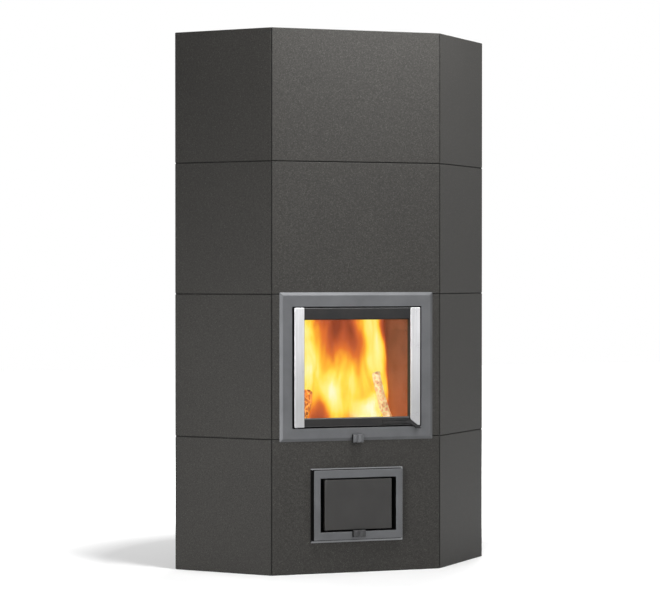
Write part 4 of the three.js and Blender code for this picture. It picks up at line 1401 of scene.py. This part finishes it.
def flue_collar():
    """A point of the section at radius r goes to (r cos a, r sin a) for a all the way round."""
    low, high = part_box("flue_collar")
    cover_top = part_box("top_cover")[1].z
    flange_top = cover_top + FLUE_FLANGE_THICKNESS
    flange_edge = FLUE_RADIUS + FLUE_FLANGE
    curl = np.linspace(-np.pi / 2, np.pi * 0.75, 9)
    bead_radius = FLUE_RADIUS + FLUE_BEAD / 2
    bead_z = high.z - FLUE_BEAD
    section = [
        (FLUE_RADIUS - FLUE_WALL, low.z),
        (FLUE_RADIUS, low.z),
        (FLUE_RADIUS, cover_top),
        (flange_edge - FLUE_EASE, cover_top),
        (flange_edge, cover_top + FLUE_EASE),
        (flange_edge - FLUE_EASE, flange_top),
        (FLUE_RADIUS + FLUE_FILLET, flange_top),
        (FLUE_RADIUS, flange_top + FLUE_FILLET),
        (FLUE_RADIUS, bead_z - 1.5 * FLUE_BEAD),
    ]
    section += [(bead_radius + FLUE_BEAD * math.cos(a), bead_z + FLUE_BEAD * math.sin(a)) for a in curl]
    section += [(FLUE_RADIUS - FLUE_WALL, bead_z)]
    radius, height = np.array(section).T[:, :, None]
    around = np.linspace(0, 2 * np.pi, FLUE_STEPS, endpoint=False)
    x = radius * np.cos(around)
    y = (low.y + high.y) / 2 + radius * np.sin(around)
    shape = skin(np.stack([x, y, height + 0 * around], axis=-1), loop=True)
    return piece("flue_socket", shape, SHEET, stands_for=["flue_collar"])


print("collar faces:", len(flue_collar().data.polygons))

# %% [markdown]
# ## The fire
#
# The stove was photographed alight, so a fire burns behind the glass: split logs on the grate, a bed of
# embers and tall flames. None of it is part of the stove, but it is most of what the eye goes to.
#
# Logs are tubes along a bent line. Their radius is a sum of waves, cut flat on two sides where the wood
# was split. Flames could be a volume, but a volume is slow and is lost on export. We use a few upright
# sheets instead. A number stored at each point says how hot the flame is there, and the finish turns
# that heat into colour, with a stretched noise for the fast upright streaks.

# %% Wood and ember finishes
BROWN_CHAR = srgb(58, 30, 18)
GREY_CHAR = srgb(112, 96, 78)
ORANGE_COALS = (srgb(96, 34, 10), srgb(236, 128, 36), srgb(255, 222, 104))
RED_COALS = (srgb(60, 18, 6), srgb(226, 108, 30), srgb(255, 214, 96))
PALE_COALS = (srgb(120, 84, 52), srgb(250, 216, 150), srgb(255, 250, 226))


def bark_finish(name, dark, light, coals, glow, char=0.42, burnt=BROWN_CHAR):
    """Wood with cells for the bark, burnt patches where a noise is above char, and light in its cracks."""
    finish = Finish(name)
    cracks = finish.cells(46, feature="DISTANCE_TO_EDGE")
    fibre = finish.noise(70, detail=6, roughness=0.7)
    charred = finish.span(finish.noise(14, detail=4), char, char + 0.2)
    wood = finish.ramp(fibre, (0.3, dark), (0.7, light))
    colour = finish.mix(charred, wood, burnt)
    crack = finish.span(cracks, 0.0, 0.10, 1.0, 0.0)
    from_crack = finish.math("MULTIPLY", crack, 0.7)
    heat = finish.math("ADD", from_crack, finish.span(fibre, 0.4, 0.8, 0.0, 0.6))
    ember = finish.ramp(heat, *zip((0.0, 0.5, 1.0), coals))
    finish.feed(finish.shader.inputs["Emission Color"], ember)
    finish.feed(finish.shader.inputs["Emission Strength"], glow)
    finish.bump(finish.math("SUBTRACT", fibre, crack), 0.8, 2.5 * MM)
    return finish.surface(colour, 0.9)


PALE_WOOD = bark_finish(
    "pale burning wood",
    srgb(206, 172, 130),
    srgb(255, 236, 200),
    PALE_COALS,
    0.75,
    char=0.55,
    burnt=GREY_CHAR,
)
DARK_WOOD = bark_finish("charring wood", srgb(150, 80, 36), srgb(236, 150, 70), ORANGE_COALS, 0.9, 0.5)
EMBER = bark_finish("ember bed", srgb(70, 30, 16), srgb(190, 96, 40), RED_COALS, 0.9)
print("made", PALE_WOOD.name, DARK_WOOD.name, EMBER.name)

# %% [markdown]
# Each wave of a log's radius is a row of its height, how often it goes round, how far it winds along the
# log, and its share of the phase that makes one log unlike the next. One broad knot stands out at a third
# of the length.

# %% Logs
LOG_STEPS = 60
LOG_SIDES = 48
BARK_WAVES = ((0.05, 3, 7, 1), (0.035, 7, -11, 2), (0.02, 13, 23, 3))
KNOT_HEIGHT = 0.22
SPLIT_TURNS = (2.4, -2.2)
SPLIT_REACH = 0.72
DOME_LENGTH = 0.03


def log_shape(start, end, radius, phase):
    """Radius = r (1 + waves in a and t), held to a plane at split * r on two sides; the ends are domed."""
    start, end = np.array(start), np.array(end)
    along = (end - start) / np.linalg.norm(end - start)
    across = np.cross(along, (0.31, 0.87, 0.38))
    across /= np.linalg.norm(across)
    other = np.cross(along, across)
    t = np.linspace(0, 1, LOG_STEPS)[:, None]
    a = np.linspace(0, 2 * np.pi, LOG_SIDES, endpoint=False)[None, :]
    waves = sum(h * np.sin(m * a + n * t + k * phase) for h, m, n, k in BARK_WAVES)
    knot = KNOT_HEIGHT * np.exp(-((t - 0.35) / 0.07) ** 2 - ((np.cos(a - phase) - 1) / 0.12) ** 2)
    size = radius * (1 + waves + knot)
    for turn in SPLIT_TURNS:
        flat = SPLIT_REACH * radius / np.maximum(np.cos(a - phase - turn), 0.05)
        size = np.minimum(size, flat)
    dome = np.clip(np.minimum(t, 1 - t) / DOME_LENGTH, 0, 1)
    size = size * (0.02 + 0.98 * np.sqrt(1 - (1 - dome) ** 2))
    bend = radius * 0.5 * np.sin(np.pi * t + phase)
    centre = start + (end - start) * t + across * bend
    spokes = np.cos(a)[..., None] * across + np.sin(a)[..., None] * other
    return skin(centre[:, None, :] + size[..., None] * spokes)


def hearth(x, depth, height):
    """A place in the firebox: x, depth behind the front plane, height above the grate."""
    return (x, FRONT_PLANE + depth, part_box("grate")[1].z + height)


# Name, finish, both ends of its middle line, radius and phase.
LOGS = (
    ("leaning_log", PALE_WOOD, hearth(0.184, 0.160, 0.02), hearth(0.137, 0.205, 0.200), 0.015, 0.4),
    ("knotty_log", DARK_WOOD, hearth(-0.158, 0.110, 0.035), hearth(-0.134, 0.160, 0.140), 0.020, 2.1),
    ("floor_log", DARK_WOOD, hearth(-0.150, 0.160, 0.022), hearth(0.140, 0.205, 0.022), 0.018, 1.2),
    ("rear_log", PALE_WOOD, hearth(-0.120, 0.315, 0.050), hearth(0.165, 0.300, 0.055), 0.036, 3.0),
    ("upper_log", DARK_WOOD, hearth(-0.125, 0.320, 0.115), hearth(0.110, 0.290, 0.100), 0.022, 0.9),
)
for name, finish, start, end, radius, phase in LOGS:
    piece(name, log_shape(start, end, radius, phase), finish, sharp=60)
print("logs:", len(LOGS))

# %% [markdown]
# The embers are a low mound on the grate: a height field on a grid, with sine waves for its lumps. It
# fades to nothing at the rim, and one flat face closes it from below.

# %% Ember bed
EMBER_STEPS = 90
EMBER_HALF_WIDTH = 150 * MM
EMBER_HALF_LENGTH = 110 * MM
EMBER_MIDDLE = 235 * MM
EMBER_MOUND = 12 * MM
EMBER_LUMPS = 16 * MM
EMBER_FOOT = 0.5 * MM


def ember_bed():
    """Height = (1 - s^4) * (mound + lumps), where s runs from 0 in the middle to 1 at the rim."""
    side = np.linspace(-1, 1, EMBER_STEPS)
    u, v = np.meshgrid(side, side)
    fade = 1 - np.maximum(np.abs(u), np.abs(v)) ** 4
    lumps = 0.5 + 0.25 * np.sin(41 * u + 9 * v) * np.sin(33 * v + 4 * u) + 0.15 * np.sin(17 * u - 23 * v)
    height = EMBER_FOOT + fade * (EMBER_MOUND + EMBER_LUMPS * lumps)
    points = hearth(EMBER_HALF_WIDTH * u, EMBER_MIDDLE + EMBER_HALF_LENGTH * v, height)
    faces, rim = grid(EMBER_STEPS)
    return np.stack(points, axis=-1).reshape(-1, 3), faces + [rim[::-1].tolist()]


print("embers:", len(piece("embers", ember_bed(), EMBER, sharp=70).data.polygons))

# %% [markdown]
# The flames' finish adds two noises to the heat that is stored at each point: fine upright streaks and
# broad licks. The sum picks a colour, from dull red to nearly white. A second stored number, the cover,
# makes a sheet clear towards its edges, ragged by the same streaks, so that no straight edge shows.

# %% Flame finish
FLAME_COLOURS = (
    (0.00, srgb(140, 60, 30)),
    (0.22, srgb(188, 86, 42)),
    (0.40, srgb(224, 112, 40)),
    (0.55, srgb(252, 172, 42)),
    (0.70, srgb(255, 222, 74)),
    (0.84, srgb(255, 242, 140)),
    (1.00, srgb(255, 253, 226)),
)


def flame_finish(name, seed_turn):
    """Heat at a point plus streaks gives the colour; cover at a point plus streaks gives the opacity."""
    finish = Finish(name)
    finish.tree.nodes.remove(finish.shader)
    heat = finish.add("ShaderNodeAttribute", attribute_name="warmth").outputs["Fac"]
    cover = finish.add("ShaderNodeAttribute", attribute_name="cover").outputs["Fac"]
    streak = finish.noise(26, roughness=0.55, stretch=(1, 1, 0.24), turn=(0, seed_turn, 0), curl=0.5)
    lick = finish.noise(8, detail=3, stretch=(1, 1, 0.5), turn=(0, -seed_turn, 0), curl=1.4)
    spread = finish.math("MULTIPLY", finish.math("SUBTRACT", streak, 0.5), 0.55)
    swing = finish.math("MULTIPLY", finish.math("SUBTRACT", lick, 0.5), 0.45)
    total = finish.math("ADD", finish.math("ADD", heat, spread), swing)
    colour = finish.ramp(total, *FLAME_COLOURS)
    glow = finish.add("ShaderNodeEmission")
    finish.feed(glow.inputs["Color"], colour)
    glow.inputs["Strength"].default_value = 1.05
    clear = finish.add("ShaderNodeBsdfTransparent")
    ragged = finish.math("ADD", cover, finish.math("MULTIPLY", spread, 0.9))
    opacity = finish.span(ragged, 0.1, 0.6)
    blend = finish.add("ShaderNodeMixShader")
    finish.feed(blend.inputs[0], opacity)
    finish.tree.links.new(clear.outputs[0], blend.inputs[1])
    finish.tree.links.new(glow.outputs[0], blend.inputs[2])
    output = finish.tree.nodes["Material Output"]
    finish.tree.links.new(blend.outputs[0], output.inputs["Surface"])
    return finish.material


FLAME = flame_finish("tall flames", seed_turn=0.12)
print("made", FLAME.name)

# %% [markdown]
# The heat of the big flame sheet is written as a sum of soft blobs: each has a place, a half-width, a
# half-height and how much warmer or cooler it makes the flame. Two hot columns stand left and right of a
# cooler tongue, and the foot is brightest between the logs.

# %% Flame sheets
FLAME_STEPS = 90
FLAME_FOOT = 6 * MM
FLAME_RISE = 455 * MM


def store(made, name, values):
    """Writes one number per vertex as an attribute."""
    layer = made.data.attributes.new(name, "FLOAT", "POINT")
    layer.data.foreach_set("value", np.asarray(values, np.float32).ravel())


def blobs(u, v, base, spots):
    """base + the sum of strength * exp(-((u - x) / w)^2 - ((v - z) / h)^2)."""
    total = np.full_like(u, base)
    for x, z, w, h, strength in spots:
        total += strength * np.exp(-((u - x) / w) ** 2 - ((v - z) / h) ** 2)
    return total


def flame_sheet(name, x_range, depth, height, heat_base, spots, edge, wave, lean):
    """An upright sheet: depth + wave * sin along x and up; cover falls off at both sides and at the top.

    Lean moves the foot of the sheet's right edge outwards. The heat sways to and fro on its way up.
    """
    u, v = np.meshgrid(np.linspace(0, 1, FLAME_STEPS), np.linspace(0, 1, FLAME_STEPS))
    x = x_range[0] + u * (x_range[1] - x_range[0] + lean * (1 - v) ** 2)
    y = depth + wave * np.sin(5.2 * u + 2.1 * v) * (0.3 + 0.7 * v)
    points = np.stack(hearth(x, y, FLAME_FOOT + v * height), axis=-1).reshape(-1, 3)
    made = piece(name, (points, grid(FLAME_STEPS)[0]), FLAME)
    left, right, top = edge
    cover = np.clip(u / left, 0, 1) * np.clip((1 - u) / right, 0, 1) * np.clip((1 - v) / top, 0, 1)
    sway = 0.022 * np.sin(8.3 * v + 1.1) + 0.012 * np.sin(19 * v + 6 * u)
    store(made, "warmth", blobs(u + sway, v, heat_base, spots))
    store(made, "cover", cover)
    return made


BIG_FLAME = (
    (0.27, 0.60, 0.07, 0.50, 0.12),
    (0.53, 1.00, 0.20, 0.38, -0.72),
    (0.66, 0.70, 0.06, 0.24, -0.34),
    (0.50, 0.72, 0.05, 0.20, -0.24),
    (0.40, 0.98, 0.06, 0.14, -0.28),
    (0.75, 0.56, 0.03, 0.20, -0.20),
    (0.87, 0.76, 0.08, 0.55, 0.18),
    (0.46, 0.34, 0.20, 0.20, 0.15),
    (0.80, 0.32, 0.04, 0.10, -0.16),
    (0.79, 0.12, 0.08, 0.10, 0.36),
    (0.34, 0.06, 0.08, 0.22, -0.64),
    (0.44, 0.02, 0.08, 0.10, -0.30),
    (0.66, 0.00, 0.10, 0.08, -0.60),
    (1.00, 0.60, 0.045, 1.20, -0.62),
)
# Name, x range, depth, height, heat, blobs, widths of the left, right and upper fade, wave, lean.
FLAMES = (
    ("tall_flame", (-0.190, 0.196), 0.245, FLAME_RISE, 0.68, BIG_FLAME, (0.10, 0.05, 0.04), 0.012, 0.025),
    ("rear_flame", (-0.185, 0.185), 0.345, FLAME_RISE, 0.44, BIG_FLAME, (0.12, 0.12, 0.06), 0.010, 0.0),
    ("low_flame", (0.000, 0.140), 0.112, 0.130, 0.92, (), (0.40, 0.40, 0.95), 0.006, 0.0),
)
print("flame sheets:", [flame_sheet(*row).name for row in FLAMES])

# %% [markdown]
# ## Edges of the CAD nodes that stay
#
# Inner parts such as the grate, the bricks and the ash pan keep their CAD mesh. Real ones have no razor
# edges, so a short stack of modifiers eases them: a weld and a flat dissolve turn the CAD's triangles back
# into whole faces, a bevel rounds the sharp edges, and weighted normals keep the flats flat.

# %% Eased edges
EASED = {
    "top_cover": 4 * MM,
    "firebrick": 2 * MM,
    "hearth_slab": 2 * MM,
    "ash_chamber_block": 2 * MM,
    "ember_guard": 1 * MM,
    "grate": 1 * MM,
    "ash_pan": 0.4 * MM,
}


def ease(node, width):
    """The modifiers in the order that they act: join, dissolve, bevel, weigh."""
    weld = node.modifiers.new("join corners", "WELD")
    weld.merge_threshold = 0.01 * MM
    whole = node.modifiers.new("join flat faces", "DECIMATE")
    whole.decimate_type = "DISSOLVE"
    whole.angle_limit = math.radians(1)
    edge = node.modifiers.new("ease edges", "BEVEL")
    edge.width = width
    edge.segments = 2
    edge.limit_method = "ANGLE"
    edge.angle_limit = math.radians(40)
    node.modifiers.new("weigh normals", "WEIGHTED_NORMAL")


def ease_nodes():
    """Eases each node whose name holds a key of the table, and returns their names."""
    eased = []
    for name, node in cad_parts.items():
        widths = [width for key, width in EASED.items() if key in name]
        if widths:
            ease(node, widths[0])
            eased.append(name)
    return eased


print("eased:", ease_nodes())

# %% [markdown]
# ## Floor, light and camera
#
# The picture was taken in a white studio. The floor is pale and adds some white of its own for the
# camera: little beside the stove, so that its shadow shows, and all of it further out, so that the floor
# runs into the backdrop without an edge. The key lamp stands in front on the right, and a second one hangs
# close above the front face. Others open the left cheek, the top and the back.

# %% Floor
FLOOR_SIZE = 30.0
FLOOR_GLOW = (0.06, 0.9)
SHADOW_REACH = (0.75, 1.25)


def seen_directly(tree):
    """1 for the rays of the camera, of mirrors and through glass, 0 for light that falls on things."""
    path = tree.nodes.new("ShaderNodeLightPath")
    seen = path.outputs["Is Camera Ray"]
    for other in ("Is Glossy Ray", "Is Transmission Ray"):
        either = tree.nodes.new("ShaderNodeMath")
        either.operation = "MAXIMUM"
        tree.links.new(seen, either.inputs[0])
        tree.links.new(path.outputs[other], either.inputs[1])
        seen = either.outputs[0]
    return seen


def floor_finish():
    """Pale grey that takes shadows, plus white for the camera that grows with the distance."""
    finish = Finish("pale studio floor")
    direct = seen_directly(finish.tree)
    finish.feed(finish.shader.inputs["Emission Color"], (1, 1, 1, 1))
    away = finish.add("ShaderNodeVectorMath", operation="LENGTH")
    finish.feed(away.inputs[0], finish.place)
    white = finish.span(away.outputs["Value"], *SHADOW_REACH, *FLOOR_GLOW)
    finish.feed(finish.shader.inputs["Emission Strength"], finish.math("MULTIPLY", direct, white))
    dust = finish.noise(3, detail=2)
    colour = finish.ramp(dust, (0.0, srgb(236, 236, 236)), (1.0, srgb(240, 240, 240)))
    return finish.surface(colour, 0.9)


def floor():
    """One large square at the stove's foot."""
    half = FLOOR_SIZE / 2
    corners = np.array([(-half, -half, 0), (half, -half, 0), (half, half, 0), (-half, half, 0)])
    mesh = bpy.data.meshes.new("studio floor")
    mesh.from_pydata(corners.tolist(), [], [(0, 1, 2, 3)])
    made = bpy.data.objects.new("studio_floor", mesh)
    bpy.context.scene.collection.objects.link(made)
    mesh.materials.append(floor_finish())
    return made


floor()
print("floor of", FLOOR_SIZE, "m")

# %% [markdown]
# The world has two strengths. A weak one lights the scene from all round, so that no side goes black. The
# camera, the metal and the glass see a full white instead.

# %% World
def studio_world(lighting, shown=1.0):
    """The world lights the scene at one strength and shows the camera, metal and glass another."""
    world = bpy.data.worlds.new("white studio")
    world.use_nodes = True
    bpy.context.scene.world = world
    tree = world.node_tree
    strength = tree.nodes.new("ShaderNodeMapRange")
    tree.links.new(seen_directly(tree), strength.inputs["Value"])
    strength.inputs["To Min"].default_value = lighting
    strength.inputs["To Max"].default_value = shown
    background = tree.nodes["Background"]
    background.inputs["Color"].default_value = (1, 1, 1, 1)
    tree.links.new(strength.outputs[0], background.inputs["Strength"])


studio_world(lighting=0.15)
print("world:", bpy.context.scene.world.name)

# %% [markdown]
# Every lamp is a large square, because a large lamp close by gives the soft light of a studio. Their
# powers were balanced against the photograph.

# %% Lamps
def softbox(name, place, aim, size, power, spread=180):
    """A square area lamp at a place, turned to face the aim. Spread is its cone in degrees."""
    light = bpy.data.lights.new(name, "AREA")
    light.size = size
    light.energy = power
    light.spread = math.radians(spread)
    lamp = bpy.data.objects.new(name, light)
    lamp.location = place
    direction = Vector(aim) - Vector(place)
    lamp.rotation_euler = direction.to_track_quat("-Z", "Y").to_euler()
    bpy.context.scene.collection.objects.link(lamp)
    return lamp


FLOOR_MIDDLE = (0.0, 0.0, 0.0)
STOVE_MIDDLE = (0.0, 0.3, 0.8)
softbox("key lamp", (1.0, -3.0, 2.4), (0.2, -0.4, 1.6), 0.9, 44)
softbox("upper lamp", (0.2, -1.1, 2.7), (0.15, -0.4, 1.7), 0.8, 50)
softbox("left lamp", (-2.6, -2.2, 0.5), (-0.4, -0.3, 0.5), 1.0, 10, 69)
softbox("overhead lamp", (0.0, -0.2, 5.0), FLOOR_MIDDLE, 2.5, 12)
softbox("rear right lamp", (2.5, 3.5, 3.0), STOVE_MIDDLE, 1.5, 110)
softbox("rear left lamp", (-2.8, 3.2, 2.4), STOVE_MIDDLE, 1.5, 70)
print("lamps:", [lamp.name for lamp in bpy.data.lights])

# %% [markdown]
# The camera stands about seven metres away with a long lens, a little to the left, at half the stove's
# height. Its place and turn were fitted to the joints and corners of the tiles in the photograph.

# %% Camera
CAMERA_PLACE = (-2.4192, -7.4080, 0.9985)
CAMERA_YAW = math.radians(-18.337)
CAMERA_PITCH = math.radians(-0.682)
CAMERA_LENS = 121.19
SENSOR_WIDTH = 36.0


def camera():
    """The lens is given in millimetres for a sensor of that width, as on a real camera."""
    lens = bpy.data.cameras.new("studio camera")
    lens.lens = CAMERA_LENS
    lens.sensor_width = SENSOR_WIDTH
    made = bpy.data.objects.new("studio camera", lens)
    made.location = CAMERA_PLACE
    made.rotation_euler = (math.pi / 2 + CAMERA_PITCH, 0.0, CAMERA_YAW)
    bpy.context.scene.collection.objects.link(made)
    bpy.context.scene.camera = made


camera()
bpy.context.scene.view_settings.view_transform = "Standard"
print("camera at", CAMERA_PLACE)
